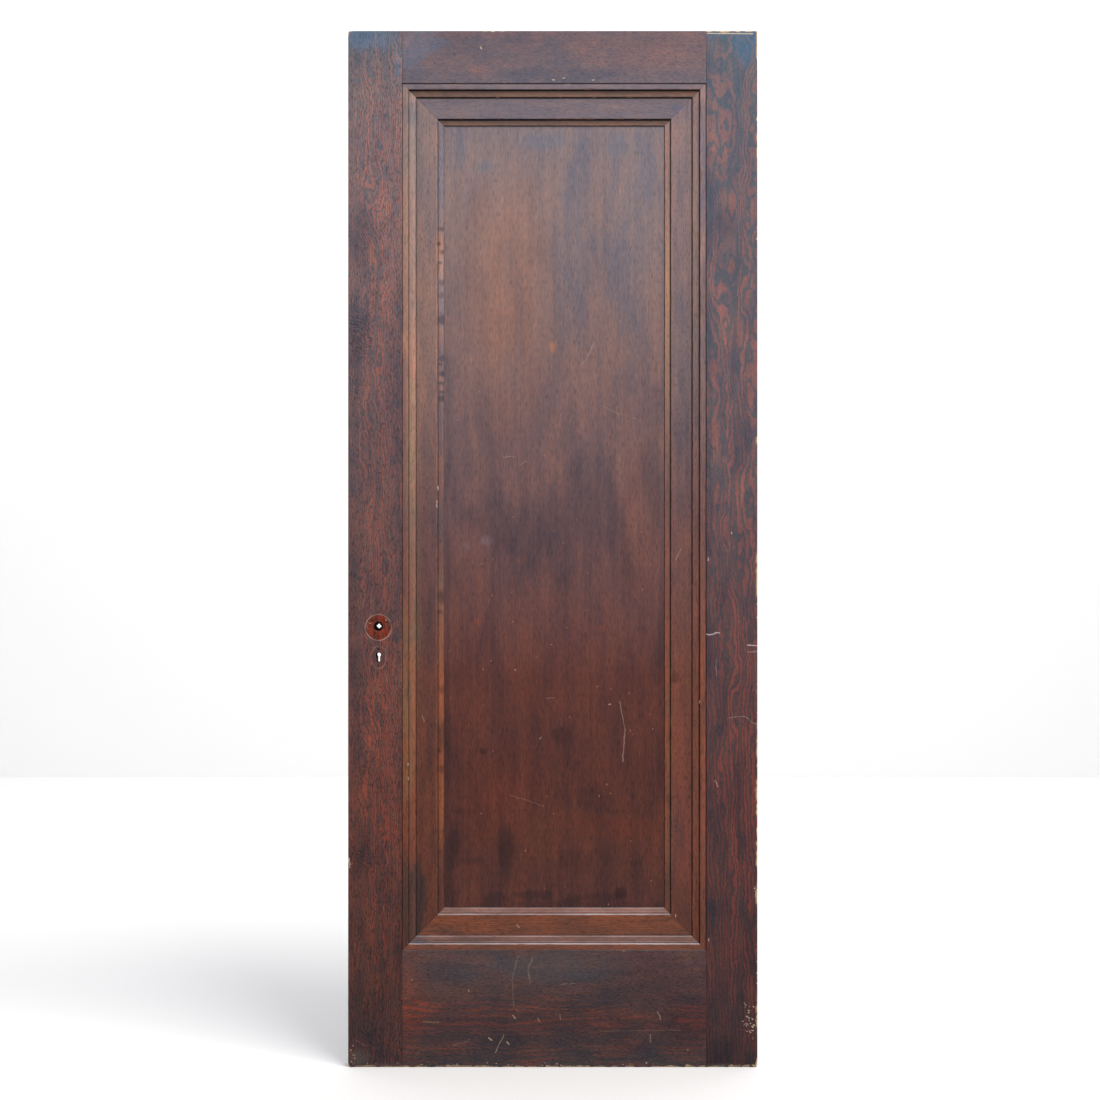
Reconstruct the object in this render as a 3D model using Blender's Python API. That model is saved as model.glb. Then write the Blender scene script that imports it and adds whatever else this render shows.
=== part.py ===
"""Solid wood door with one large panel, planted mouldings and a mortise lock.

Metres, +Z up. The origin is the middle of the underside, +X points to the hinge edge and the
front face looks along -Y. The door stands upright on the ends of its stiles and its bottom rail.
"""

import math

import bmesh
import bpy
from mathutils import Matrix, Vector

# The leaf and the frame boards
DOOR_WIDTH = 0.843
DOOR_HEIGHT = 2.134
DOOR_THICKNESS = 0.0445
LOCK_STILE_WIDTH = 0.111
HINGE_STILE_WIDTH = 0.105
TOP_RAIL_HEIGHT = 0.108
BOTTOM_RAIL_HEIGHT = 0.240
ARRIS = 0.0008  # eased edges of the boards

# Joinery
FIT = 0.0003  # clearance wherever two pieces meet
TENON_THICKNESS = 0.014
TENON_LENGTH = 0.055
TENON_SHOULDER = 0.020  # rail left above and below its tenon
MORTISE_SPARE = 0.002  # mortise left empty past the tenon
PANEL_THICKNESS = 0.0127
GROOVE_DEPTH = 0.012

# The planted moulding, from the panel's face up and from its inner edge out
LIP_HEIGHT = 0.0020
BEVEL_WIDTH = 0.0130
BEVEL_RISE = 0.0023
BAND_STEP = 0.0027
BAND_WIDTH = 0.0445
COVE_STEP = 0.0020
COVE_WIDTH = 0.0150
COVE_RISE = 0.0025
FILLET_STEP = 0.0030
FILLET_WIDTH = 0.0135
NOSING = 0.0006  # flat worn on the outer corner of each step

# The hinge gains, cut for butt hinges whose knuckles stand at the back face
HINGE_HEIGHT = 0.102
GAIN_DEPTH = 0.0028
GAIN_MARGIN = 0.006  # wood left between a gain and the front face
TOP_HINGE_DROP = 0.181
BOTTOM_HINGE_RISE = 0.316
HINGE_SCREW_HOLE = 0.0036
HINGE_SCREW_DEPTH = 0.025
HINGE_SCREW_END = 0.012  # from a gain's end to its first screw row
HINGE_SCREW_PITCH = 0.022
HINGE_SCREW_STAGGER = 0.007  # each row sits this far off the gain's middle

# The mortise lock
BACKSET = 0.0624  # door edge to spindle
SPINDLE_HEIGHT = 0.9078
KEYHOLE_DROP = 0.0593  # spindle to the keyhole's round end
CASE_DEPTH = 0.084
CASE_HEIGHT = 0.140
CASE_THICKNESS = 0.014
CASE_WALL = 0.0018
CASE_ABOVE_SPINDLE = 0.040
PLATE_HEIGHT = 0.172
PLATE_WIDTH = 0.022
PLATE_THICKNESS = 0.003
HUB_BARREL_RADIUS = 0.0076
HUB_COLLAR_RADIUS = 0.011
HORN_REACH = 0.018
HORN_WIDTH = 0.007
SPINDLE_SQUARE = 0.008
LATCH_HEIGHT = 0.016
LATCH_LENGTH = 0.030
LATCH_SLANT = 0.006  # how much of the latch's thickness its slant takes
BOLT_HEIGHT = 0.028
BOLT_LENGTH = 0.038
CASE_KEYHOLE_RADIUS = 0.0042
CASE_KEYHOLE_SLOT = 0.0046
CASE_KEYHOLE_HEIGHT = 0.019

# What the lost knob, rose and escutcheon left in the wood
KNOB_BORE_RADIUS = 0.00975
ROSE_DROP = 0.0020  # the rose was fixed a little below the spindle
ROSE_SCREW_CIRCLE = 0.0198
ROSE_SCREWS = 3
KEYHOLE_RADIUS = 0.006
KEYHOLE_SLOT = 0.0082
KEYHOLE_HEIGHT = 0.022
ESCUTCHEON_SCREW_ABOVE = 0.0113  # from the keyhole's round end
ESCUTCHEON_SCREW_BELOW = 0.0231
SCREW_HOLE_RADIUS = 0.0012
SCREW_HOLE_DEPTH = 0.009

# The faceplate's two countersunk screws
PLATE_SCREW_INSET = 0.009
SCREW_HEAD_RADIUS = 0.0038
SCREW_HEAD_DEPTH = 0.0024
SCREW_SHANK_RADIUS = 0.0017
SCREW_LENGTH = 0.024
SCREW_POINT = 0.005
SCREW_SLOT_WIDTH = 0.0011
SCREW_SLOT_DEPTH = 0.0008

# Drawing detail
CUT_PAST = 0.002  # a cutter runs this far past the surface it opens
COVE_STEPS = 5
ROUND_SIDES = 32
SMALL_SIDES = 12

# Places worked out from the sizes above
LEFT = -DOOR_WIDTH / 2
RIGHT = DOOR_WIDTH / 2
OPENING_LEFT = LEFT + LOCK_STILE_WIDTH
OPENING_RIGHT = RIGHT - HINGE_STILE_WIDTH
OPENING_BOTTOM = BOTTOM_RAIL_HEIGHT
OPENING_TOP = DOOR_HEIGHT - TOP_RAIL_HEIGHT
HALF = DOOR_THICKNESS / 2
SPINDLE = Vector((LEFT + BACKSET, 0, SPINDLE_HEIGHT))
KEYHOLE = SPINDLE - Vector((0, 0, KEYHOLE_DROP))
CASE_TOP = SPINDLE_HEIGHT + CASE_ABOVE_SPINDLE
CASE_MIDDLE = CASE_TOP - CASE_HEIGHT / 2
CASE_FRONT = LEFT + PLATE_THICKNESS + FIT
CASE_BACK = CASE_FRONT + CASE_DEPTH
INSIDE_THICKNESS = CASE_THICKNESS - 2 * CASE_WALL
WORKS_THICKNESS = INSIDE_THICKNESS - 2 * FIT  # what slides or turns inside the case


def srgb(code):
    """A hex colour as linear red, green and blue."""
    values = [int(code[i : i + 2], 16) / 255 for i in (0, 2, 4)]
    return [v / 12.92 if v <= 0.04045 else ((v + 0.055) / 1.055) ** 2.4 for v in values]


def make_material(name, code, roughness, metallic=0.0):
    material = bpy.data.materials.new(name)
    material.use_nodes = True
    shader = material.node_tree.nodes["Principled BSDF"]
    shader.inputs["Base Color"].default_value = (*srgb(code), 1)
    shader.inputs["Roughness"].default_value = roughness
    shader.inputs["Metallic"].default_value = metallic
    return material


def add_object(name, bm, place, material=None):
    """An object whose mesh is bm, with its origin at place."""
    bmesh.ops.recalc_face_normals(bm, faces=bm.faces)
    mesh = bpy.data.meshes.new(name)
    bm.to_mesh(mesh)
    bm.free()
    obj = bpy.data.objects.new(name, mesh)
    obj.location = place
    bpy.context.scene.collection.objects.link(obj)
    if material:
        mesh.materials.append(material)
    else:
        obj.hide_render = True
        obj.display_type = "WIRE"
    return obj


def box_mesh(low, high, ease=0.0):
    """A box between two corners, centred on its own origin, with that centre."""
    low, high = Vector(low), Vector(high)
    bm = bmesh.new()
    bmesh.ops.create_cube(bm, size=1)
    bmesh.ops.scale(bm, vec=high - low, verts=bm.verts)
    if ease:
        bmesh.ops.bevel(
            bm, geom=bm.edges, offset=ease, segments=2, profile=0.5, affect="EDGES"
        )
    return bm, (low + high) / 2


def add_box(name, low, high, material=None, ease=0.0):
    bm, centre = box_mesh(low, high, ease)
    return add_object(name, bm, centre, material)


def add_turned(name, profile, place, direction, sides, material=None):
    """A round piece: profile lists (radius, distance along direction), both ends on the axis."""
    bm = bmesh.new()
    rings = []
    for radius, along in profile:
        if radius == 0:
            rings.append([bm.verts.new((0, 0, along))])
            continue
        turns = [2 * math.pi * (i + 0.5) / sides for i in range(sides)]
        ring = [(radius * math.cos(t), radius * math.sin(t), along) for t in turns]
        rings.append([bm.verts.new(point) for point in ring])
    for first, second in zip(rings, rings[1:]):
        for i in range(sides):
            j = (i + 1) % sides
            corners = [first[i % len(first)], first[j % len(first)]]
            corners += [second[j % len(second)], second[i % len(second)]]
            bm.faces.new(list(dict.fromkeys(corners)))
    obj = add_object(name, bm, place, material)
    obj.rotation_euler = Vector(direction).to_track_quat("Z", "Y").to_euler()
    obj.data.shade_smooth()
    obj.data.set_sharp_from_angle(angle=math.radians(35))
    return obj


def add_bore(name, place, direction, radius, length, sides):
    """A round cutter that starts at place and runs length along direction."""
    profile = [(0, 0), (radius, 0), (radius, length), (0, length)]
    return add_turned(name, profile, place, direction, sides)


def add_outline(name, outline, place, thickness, material=None):
    """A flat piece in the XZ plane: its outline, pushed out to thickness about Y."""
    bm = bmesh.new()
    face = bm.faces.new([bm.verts.new((x, -thickness / 2, z)) for x, z in outline])
    grown = bmesh.ops.extrude_face_region(bm, geom=[face])["geom"]
    points = [item for item in grown if isinstance(item, bmesh.types.BMVert)]
    bmesh.ops.translate(bm, vec=(0, thickness, 0), verts=points)
    return add_object(name, bm, place, material)


def combine(piece, tool, operation="DIFFERENCE"):
    modifier = piece.modifiers.new(tool.name, "BOOLEAN")
    modifier.operation = operation
    modifier.object = tool


def groove_cutter():
    """The panel grown by its clearance: it cuts the groove in all four boards."""
    reach = GROOVE_DEPTH + FIT
    return add_box(
        "cut_groove",
        (OPENING_LEFT - reach, -PANEL_THICKNESS / 2 - FIT, OPENING_BOTTOM - reach),
        (OPENING_RIGHT + reach, PANEL_THICKNESS / 2 + FIT, OPENING_TOP + reach),
    )


def tenon_heights(bottom, top):
    return bottom + TENON_SHOULDER, top - TENON_SHOULDER


def add_rail(name, bottom, top, groove, material):
    """A rail between the stiles, with a tenon on each end."""
    low = (OPENING_LEFT + FIT, -HALF, bottom)
    high = (OPENING_RIGHT - FIT, HALF, top)
    rail = add_box(name, low, high, material, ARRIS)
    tenon_low, tenon_high = tenon_heights(bottom, top)
    for side, shoulder, outward in (("left", OPENING_LEFT, -1), ("right", OPENING_RIGHT, 1)):
        ends = sorted((shoulder - outward * TENON_SHOULDER, shoulder + outward * TENON_LENGTH))
        tenon = add_box(
            f"{name}_tenon_{side}",
            (ends[0], -TENON_THICKNESS / 2, tenon_low),
            (ends[1], TENON_THICKNESS / 2, tenon_high),
        )
        combine(rail, tenon, "UNION")
    combine(rail, groove)
    return rail


def add_stile(name, low_x, high_x, inner_x, inward, groove, material):
    """A stile of the full height, mortised for both rails. inward is +1 or -1 along X."""
    stile = add_box(name, (low_x, -HALF, 0), (high_x, HALF, DOOR_HEIGHT), material, ARRIS)
    combine(stile, groove)
    rails = (("bottom", 0, BOTTOM_RAIL_HEIGHT), ("top", OPENING_TOP, DOOR_HEIGHT))
    for rail, bottom, top in rails:
        low, high = tenon_heights(bottom, top)
        depth = TENON_LENGTH + MORTISE_SPARE
        ends = sorted((inner_x - inward * depth, inner_x + inward * CUT_PAST))
        mortise = add_box(
            f"cut_{name}_{rail}",
            (ends[0], -TENON_THICKNESS / 2 - FIT, low - FIT),
            (ends[1], TENON_THICKNESS / 2 + FIT, high + FIT),
        )
        combine(stile, mortise)
    return stile


def cut_hinge_gains(stile):
    """Two shallow seats in the door's edge, open at the back face, each with four screw holes."""
    bottoms = {"top": DOOR_HEIGHT - TOP_HINGE_DROP - HINGE_HEIGHT, "bottom": BOTTOM_HINGE_RISE}
    middle = (GAIN_MARGIN / 2, RIGHT - GAIN_DEPTH)
    for which, bottom in bottoms.items():
        gain = add_box(
            f"cut_gain_{which}",
            (RIGHT - GAIN_DEPTH, -HALF + GAIN_MARGIN, bottom),
            (RIGHT + CUT_PAST, HALF + CUT_PAST, bottom + HINGE_HEIGHT),
        )
        combine(stile, gain)
        rows = [bottom + HINGE_SCREW_END + i * HINGE_SCREW_PITCH for i in (0, 1)]
        rows += [2 * bottom + HINGE_HEIGHT - z for z in rows]
        for i, z in enumerate(rows):
            y = middle[0] + (HINGE_SCREW_STAGGER if i % 2 else -HINGE_SCREW_STAGGER)
            hole = add_bore(
                f"cut_gain_{which}_screw_{i}",
                (middle[1] + CUT_PAST, y, z),
                (-1, 0, 0),
                HINGE_SCREW_HOLE / 2,
                HINGE_SCREW_DEPTH + CUT_PAST,
                SMALL_SIDES,
            )
            combine(stile, hole)


def keyhole_outline(radius, slot, height):
    """A round hole with a round-ended slot below it, about the middle of the round hole."""
    half = slot / 2
    open_angle = math.asin(half / radius)
    start = -math.pi / 2 + open_angle
    span = 2 * math.pi - 2 * open_angle
    turns = [start + span * i / (ROUND_SIDES - 1) for i in range(ROUND_SIDES)]
    outline = [(radius * math.cos(t), radius * math.sin(t)) for t in turns]
    low = radius - height + half
    turns = [math.pi + math.pi * i / SMALL_SIDES for i in range(SMALL_SIDES + 1)]
    return outline + [(half * math.cos(t), low + half * math.sin(t)) for t in turns]


def cut_lock_mortise(stile):
    """The lock's pocket, the faceplate's recess, the bores through both faces and the screw holes."""
    pocket = add_box(
        "cut_pocket",
        (LEFT - CUT_PAST, -CASE_THICKNESS / 2 - FIT, CASE_TOP - CASE_HEIGHT - FIT),
        (CASE_BACK + MORTISE_SPARE, CASE_THICKNESS / 2 + FIT, CASE_TOP + FIT),
    )
    recess = add_box(
        "cut_recess",
        (LEFT - CUT_PAST, -PLATE_WIDTH / 2 - FIT, CASE_MIDDLE - PLATE_HEIGHT / 2 - FIT),
        (LEFT + PLATE_THICKNESS + FIT, PLATE_WIDTH / 2 + FIT, CASE_MIDDLE + PLATE_HEIGHT / 2 + FIT),
    )
    through = DOOR_THICKNESS + 2 * CUT_PAST
    start = SPINDLE - Vector((0, through / 2, 0))
    bore = add_bore("cut_knob", start, (0, 1, 0), KNOB_BORE_RADIUS, through, ROUND_SIDES)
    outline = keyhole_outline(KEYHOLE_RADIUS, KEYHOLE_SLOT, KEYHOLE_HEIGHT)
    keyhole = add_outline("cut_keyhole", outline, KEYHOLE, through)
    for tool in (pocket, recess, bore, keyhole):
        combine(stile, tool)
    cut_fixing_holes(stile)
    cut_plate_screw_holes(stile)


def fixing_places():
    """(x, z) of the screws that held a rose and an escutcheon, the same on both faces."""
    rose = SPINDLE - Vector((0, 0, ROSE_DROP))
    turns = [math.pi / 6 + 2 * math.pi * i / ROSE_SCREWS for i in range(ROSE_SCREWS)]
    places = [
        (rose.x + ROSE_SCREW_CIRCLE * math.cos(t), rose.z + ROSE_SCREW_CIRCLE * math.sin(t))
        for t in turns
    ]
    places.append((KEYHOLE.x, KEYHOLE.z + ESCUTCHEON_SCREW_ABOVE))
    places.append((KEYHOLE.x, KEYHOLE.z - ESCUTCHEON_SCREW_BELOW))
    return places


def cut_fixing_holes(stile):
    for face, outward in (("front", -1), ("back", 1)):
        for i, (x, z) in enumerate(fixing_places()):
            hole = add_bore(
                f"cut_fixing_{face}_{i}",
                (x, outward * (HALF + CUT_PAST), z),
                (0, -outward, 0),
                SCREW_HOLE_RADIUS,
                SCREW_HOLE_DEPTH + CUT_PAST,
                SMALL_SIDES,
            )
            combine(stile, hole)


def plate_screw_places():
    offset = PLATE_HEIGHT / 2 - PLATE_SCREW_INSET
    return {"upper": CASE_MIDDLE + offset, "lower": CASE_MIDDLE - offset}


def cut_plate_screw_holes(stile):
    for which, z in plate_screw_places().items():
        radius = SCREW_SHANK_RADIUS + FIT
        start = (LEFT - CUT_PAST, 0, z)
        length = CUT_PAST + SCREW_LENGTH + FIT
        hole = add_bore(f"cut_plate_screw_{which}", start, (1, 0, 0), radius, length, SMALL_SIDES)
        combine(stile, hole)


def moulding_section():
    """(distance in from the frame, height above the panel) round one moulding, as a closed outline."""
    lip = LIP_HEIGHT
    bevel = lip + BEVEL_RISE
    band = bevel + BAND_STEP
    cove_low = band + COVE_STEP
    cove_high = cove_low + COVE_RISE
    fillet = cove_high + FILLET_STEP
    to_cove = FILLET_WIDTH
    to_band = to_cove + COVE_WIDTH
    to_bevel = to_band + BAND_WIDTH
    to_edge = to_bevel + BEVEL_WIDTH
    outline = [(FIT, 0), (FIT, fillet), (to_cove - NOSING, fillet), (to_cove, fillet - NOSING)]
    for i in range(COVE_STEPS + 1):
        turn = math.pi / 2 * i / COVE_STEPS
        across = (COVE_WIDTH - NOSING) * (1 - math.cos(turn))
        outline.append((to_cove + across, cove_high - COVE_RISE * math.sin(turn)))
    outline += [(to_band, cove_low - NOSING), (to_band, band)]
    outline += [(to_bevel - NOSING, band), (to_bevel, band - NOSING), (to_bevel, bevel)]
    outline += [(to_edge - NOSING, lip), (to_edge, lip - NOSING), (to_edge, 0)]
    return outline


def add_moulding(name, start, end, inward, outward, material):
    """One side of the planted moulding, mitred at both ends.

    start and end are the corners of the frame's opening, inward points to the panel's middle and
    outward away from the panel's face.
    """
    start, end, inward, outward = (Vector(v) for v in (start, end, inward, outward))
    along = (end - start).normalized()
    length = (end - start).length
    base = PANEL_THICKNESS / 2 + FIT
    mitre = FIT / 2 * math.sqrt(2)
    bm = bmesh.new()
    ends = [[], []]
    for across, height in moulding_section():
        side = inward * across + outward * (base + height)
        ends[0].append(bm.verts.new(side + along * (across + mitre - length / 2)))
        ends[1].append(bm.verts.new(side + along * (length / 2 - across - mitre)))
    count = len(ends[0])
    for i in range(count):
        j = (i + 1) % count
        bm.faces.new((ends[0][i], ends[0][j], ends[1][j], ends[1][i]))
    bm.faces.new(ends[0])
    bm.faces.new(ends[1])
    return add_object(name, bm, (start + end) / 2, material)


def add_mouldings(material):
    left, right, bottom, top = OPENING_LEFT, OPENING_RIGHT, OPENING_BOTTOM, OPENING_TOP
    sides = {
        "top": ((left, 0, top), (right, 0, top), (0, 0, -1)),
        "bottom": ((left, 0, bottom), (right, 0, bottom), (0, 0, 1)),
        "left": ((left, 0, bottom), (left, 0, top), (1, 0, 0)),
        "right": ((right, 0, bottom), (right, 0, top), (-1, 0, 0)),
    }
    for face, outward in (("front", (0, -1, 0)), ("back", (0, 1, 0))):
        for side, (start, end, inward) in sides.items():
            add_moulding(f"{face}_moulding_{side}", start, end, inward, outward, material)


def add_panel(material):
    low = (OPENING_LEFT - GROOVE_DEPTH, -PANEL_THICKNESS / 2, OPENING_BOTTOM - GROOVE_DEPTH)
    high = (OPENING_RIGHT + GROOVE_DEPTH, PANEL_THICKNESS / 2, OPENING_TOP + GROOVE_DEPTH)
    return add_box("panel", low, high, material)


def add_windows(piece, front, back):
    """Cuts the two openings that the latch and the dead bolt slide through, between two places in X."""
    half = WORKS_THICKNESS / 2 + FIT
    for name, z, height in (
        ("latch", SPINDLE_HEIGHT, LATCH_HEIGHT),
        ("bolt", KEYHOLE.z, BOLT_HEIGHT),
    ):
        window = add_box(
            f"cut_{piece.name}_{name}",
            (front, -half, z - height / 2 - FIT),
            (back, half, z + height / 2 + FIT),
        )
        combine(piece, window)


def add_lock_case(material):
    """A hollow cast case, open at the hub, the keyholes and the two bolts."""
    low = Vector((CASE_FRONT, -CASE_THICKNESS / 2, CASE_TOP - CASE_HEIGHT))
    high = Vector((CASE_BACK, CASE_THICKNESS / 2, CASE_TOP))
    wall = Vector((CASE_WALL, CASE_WALL, CASE_WALL))
    case = add_box("lock_case", low, high, material)
    through = CASE_THICKNESS + 2 * CUT_PAST
    start = SPINDLE - Vector((0, through / 2, 0))
    radius = HUB_BARREL_RADIUS + FIT
    outline = keyhole_outline(CASE_KEYHOLE_RADIUS, CASE_KEYHOLE_SLOT, CASE_KEYHOLE_HEIGHT)
    combine(case, add_box("cut_case_inside", low + wall, high - wall))
    combine(case, add_bore("cut_case_hub", start, (0, 1, 0), radius, through, ROUND_SIDES))
    combine(case, add_outline("cut_case_keyhole", outline, KEYHOLE, through))
    add_windows(case, CASE_FRONT - CUT_PAST, CASE_FRONT + CASE_WALL + CUT_PAST)
    return case


def add_lock_hub(material):
    """The follower that the knob's spindle turns: a barrel, a collar, a horn and a square hole."""
    barrel = CASE_THICKNESS / 2
    collar = WORKS_THICKNESS / 2
    profile = [
        (0, -barrel),
        (HUB_BARREL_RADIUS, -barrel),
        (HUB_BARREL_RADIUS, -collar),
        (HUB_COLLAR_RADIUS, -collar),
        (HUB_COLLAR_RADIUS, collar),
        (HUB_BARREL_RADIUS, collar),
        (HUB_BARREL_RADIUS, barrel),
        (0, barrel),
    ]
    hub = add_turned("lock_hub", profile, SPINDLE, (0, 1, 0), ROUND_SIDES, material)
    horn = add_box(
        "lock_hub_horn",
        (SPINDLE.x - HORN_REACH, -collar + FIT, SPINDLE.z - HORN_WIDTH / 2),
        (SPINDLE.x - HUB_BARREL_RADIUS, collar - FIT, SPINDLE.z + HORN_WIDTH / 2),
    )
    combine(hub, horn, "UNION")
    half = Vector((SPINDLE_SQUARE / 2, barrel + CUT_PAST, SPINDLE_SQUARE / 2))
    square = add_box("cut_spindle", SPINDLE - half, SPINDLE + half)
    square.rotation_euler = (0, math.pi / 4, 0)
    combine(hub, square)
    return hub


def add_latch_bolt(material):
    """The spring latch, drawn in until its nose is flush with the faceplate."""
    half = WORKS_THICKNESS / 2
    low = (LEFT, -half, SPINDLE_HEIGHT - LATCH_HEIGHT / 2)
    high = (LEFT + LATCH_LENGTH, half, SPINDLE_HEIGHT + LATCH_HEIGHT / 2)
    latch = add_box("latch_bolt", low, high, material)
    outline = [(-CUT_PAST, -CUT_PAST), (LATCH_SLANT, -CUT_PAST), (-CUT_PAST, LATCH_SLANT)]
    place = Vector((LEFT, -half, SPINDLE_HEIGHT))
    slant = add_outline("cut_latch_slant", outline, place, LATCH_HEIGHT + 2 * CUT_PAST)
    slant.rotation_euler = (-math.pi / 2, 0, 0)
    combine(latch, slant)
    return latch


def add_dead_bolt(material):
    """The bolt that the key throws, drawn in flush as well."""
    half = WORKS_THICKNESS / 2
    low = (LEFT, -half, KEYHOLE.z - BOLT_HEIGHT / 2)
    high = (LEFT + BOLT_LENGTH, half, KEYHOLE.z + BOLT_HEIGHT / 2)
    return add_box("dead_bolt", low, high, material)


def add_faceplate(material):
    low = (LEFT, -PLATE_WIDTH / 2, CASE_MIDDLE - PLATE_HEIGHT / 2)
    high = (LEFT + PLATE_THICKNESS, PLATE_WIDTH / 2, CASE_MIDDLE + PLATE_HEIGHT / 2)
    plate = add_box("lock_faceplate", low, high, material)
    add_windows(plate, LEFT - CUT_PAST, LEFT + PLATE_THICKNESS + CUT_PAST)
    flare = (SCREW_HEAD_RADIUS - SCREW_SHANK_RADIUS) / SCREW_HEAD_DEPTH
    for which, z in plate_screw_places().items():
        wide = SCREW_HEAD_RADIUS + FIT + flare * CUT_PAST
        narrow = SCREW_SHANK_RADIUS + FIT
        profile = [
            (0, -CUT_PAST),
            (wide, -CUT_PAST),
            (narrow, SCREW_HEAD_DEPTH),
            (narrow, PLATE_THICKNESS + CUT_PAST),
            (0, PLATE_THICKNESS + CUT_PAST),
        ]
        name = f"cut_countersink_{which}"
        combine(plate, add_turned(name, profile, (LEFT, 0, z), (1, 0, 0), SMALL_SIDES))
    return plate


def add_plate_screws(material):
    profile = [
        (0, 0),
        (SCREW_HEAD_RADIUS, 0),
        (SCREW_SHANK_RADIUS, SCREW_HEAD_DEPTH),
        (SCREW_SHANK_RADIUS, SCREW_LENGTH - SCREW_POINT),
        (0, SCREW_LENGTH),
    ]
    for which, z in plate_screw_places().items():
        name = f"faceplate_screw_{which}"
        screw = add_turned(name, profile, (LEFT, 0, z), (1, 0, 0), SMALL_SIDES, material)
        half = SCREW_SLOT_WIDTH / 2
        slot = add_box(
            f"cut_{name}_slot",
            (LEFT - CUT_PAST, -SCREW_HEAD_RADIUS, z - half),
            (LEFT + SCREW_SLOT_DEPTH, SCREW_HEAD_RADIUS, z + half),
        )
        combine(screw, slot)


def build_door():
    for obj in list(bpy.data.objects):
        bpy.data.objects.remove(obj)
    stile_wood = make_material("stained_stile_wood", "5A3A36", 0.42)
    rail_wood = make_material("stained_rail_wood", "4E3432", 0.45)
    moulding_wood = make_material("stained_moulding_wood", "6B4A40", 0.42)
    panel_wood = make_material("stained_panel_wood", "60403A", 0.42)
    iron = make_material("japanned_cast_iron", "1B1714", 0.6, 0.6)
    brass = make_material("aged_brass", "7A6238", 0.45, 1.0)

    groove = groove_cutter()
    lock_stile = add_stile("lock_stile", LEFT, OPENING_LEFT, OPENING_LEFT, 1, groove, stile_wood)
    hinge_stile = add_stile("hinge_stile", OPENING_RIGHT, RIGHT, OPENING_RIGHT, -1, groove, stile_wood)
    cut_lock_mortise(lock_stile)
    cut_hinge_gains(hinge_stile)
    add_rail("top_rail", OPENING_TOP, DOOR_HEIGHT, groove, rail_wood)
    add_rail("bottom_rail", 0, BOTTOM_RAIL_HEIGHT, groove, rail_wood)
    add_panel(panel_wood)
    add_mouldings(moulding_wood)

    lock = bpy.data.objects.new("lock", None)
    bpy.context.scene.collection.objects.link(lock)
    lock.location = SPINDLE
    add_plate_screws(brass)
    works = [add_lock_case(iron), add_lock_hub(iron), add_latch_bolt(brass), add_dead_bolt(brass)]
    for piece in works + [add_faceplate(brass)]:
        piece.parent = lock
        piece.matrix_parent_inverse = Matrix.Translation(-SPINDLE)


build_door()
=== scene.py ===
import math
import bmesh
import bpy
import numpy as np
from mathutils import Matrix, Vector, noise


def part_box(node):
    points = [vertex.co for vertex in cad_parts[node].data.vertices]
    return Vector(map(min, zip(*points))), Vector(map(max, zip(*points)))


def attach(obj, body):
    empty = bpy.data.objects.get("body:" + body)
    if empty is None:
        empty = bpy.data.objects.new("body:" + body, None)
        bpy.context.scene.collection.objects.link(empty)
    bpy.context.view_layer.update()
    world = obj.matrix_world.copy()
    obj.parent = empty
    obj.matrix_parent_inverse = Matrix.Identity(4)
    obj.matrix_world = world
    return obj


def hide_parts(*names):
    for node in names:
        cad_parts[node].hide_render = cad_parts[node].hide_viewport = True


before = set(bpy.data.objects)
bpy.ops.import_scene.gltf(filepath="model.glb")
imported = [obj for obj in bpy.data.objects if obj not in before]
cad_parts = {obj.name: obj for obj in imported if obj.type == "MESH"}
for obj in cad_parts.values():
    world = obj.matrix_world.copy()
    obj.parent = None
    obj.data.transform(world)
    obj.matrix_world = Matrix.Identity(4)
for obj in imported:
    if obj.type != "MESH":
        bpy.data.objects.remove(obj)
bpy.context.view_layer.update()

scene = bpy.context.scene
mm = 0.001
doorTop = 2134  # mm, the height every pattern below is placed against
sectionWidth = 86.0  # mm, the mouldings from the frame's edge to the panel


def linear(hexColour):
    channels = [int(hexColour[i:i + 2], 16) / 255 for i in (1, 3, 5)]
    return [c / 12.92 if c <= 0.04045 else ((c + 0.055) / 1.055) ** 2.4 for c in channels] + [1.0]


def addNode(tree, kind, inputs=None, output=0, **settings):
    node = tree.nodes.new(kind)
    for name, value in settings.items():
        setattr(node, name, value)
    for key, value in (inputs or {}).items():
        if isinstance(value, bpy.types.NodeSocket):
            tree.links.new(value, node.inputs[key])
        else:
            node.inputs[key].default_value = value
    return node.outputs[output] if node.outputs else node


def addSockets(tree, inputs, outputs):
    for direction, sockets in (("INPUT", inputs), ("OUTPUT", outputs)):
        for name, kind in sockets.items():
            tree.interface.new_socket(name, in_out=direction, socket_type=f"NodeSocket{kind}")
    return tree.nodes.new("NodeGroupInput").outputs, tree.nodes.new("NodeGroupOutput").inputs


# marks that several materials share

# distance to a straight line on the face, for a scratch
scratchTree = bpy.data.node_groups.new("scratch", "ShaderNodeTree")
given, result = addSockets(
    scratchTree,
    {"Point": "Vector", "Start": "Vector", "End": "Vector", "Width": "Float", "Strength": "Float"},
    {"Mask": "Float"},
)
fromStart = addNode(
    scratchTree, "ShaderNodeVectorMath", {0: given["Point"], 1: given["Start"]}, operation="SUBTRACT",
)
run = addNode(
    scratchTree, "ShaderNodeVectorMath", {0: given["End"], 1: given["Start"]}, operation="SUBTRACT",
)
reach = addNode(
    scratchTree, "ShaderNodeVectorMath", {0: fromStart, 1: run}, output=1, operation="DOT_PRODUCT",
)
span = addNode(scratchTree, "ShaderNodeVectorMath", {0: run, 1: run}, output=1, operation="DOT_PRODUCT")
part = addNode(scratchTree, "ShaderNodeMath", {0: reach, 1: span}, operation="DIVIDE", use_clamp=True)
nearest = addNode(scratchTree, "ShaderNodeVectorMath", {0: run, "Scale": part}, operation="SCALE")
gap = addNode(
    scratchTree, "ShaderNodeVectorMath", {0: fromStart, 1: nearest}, output=1, operation="DISTANCE",
)
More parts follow.
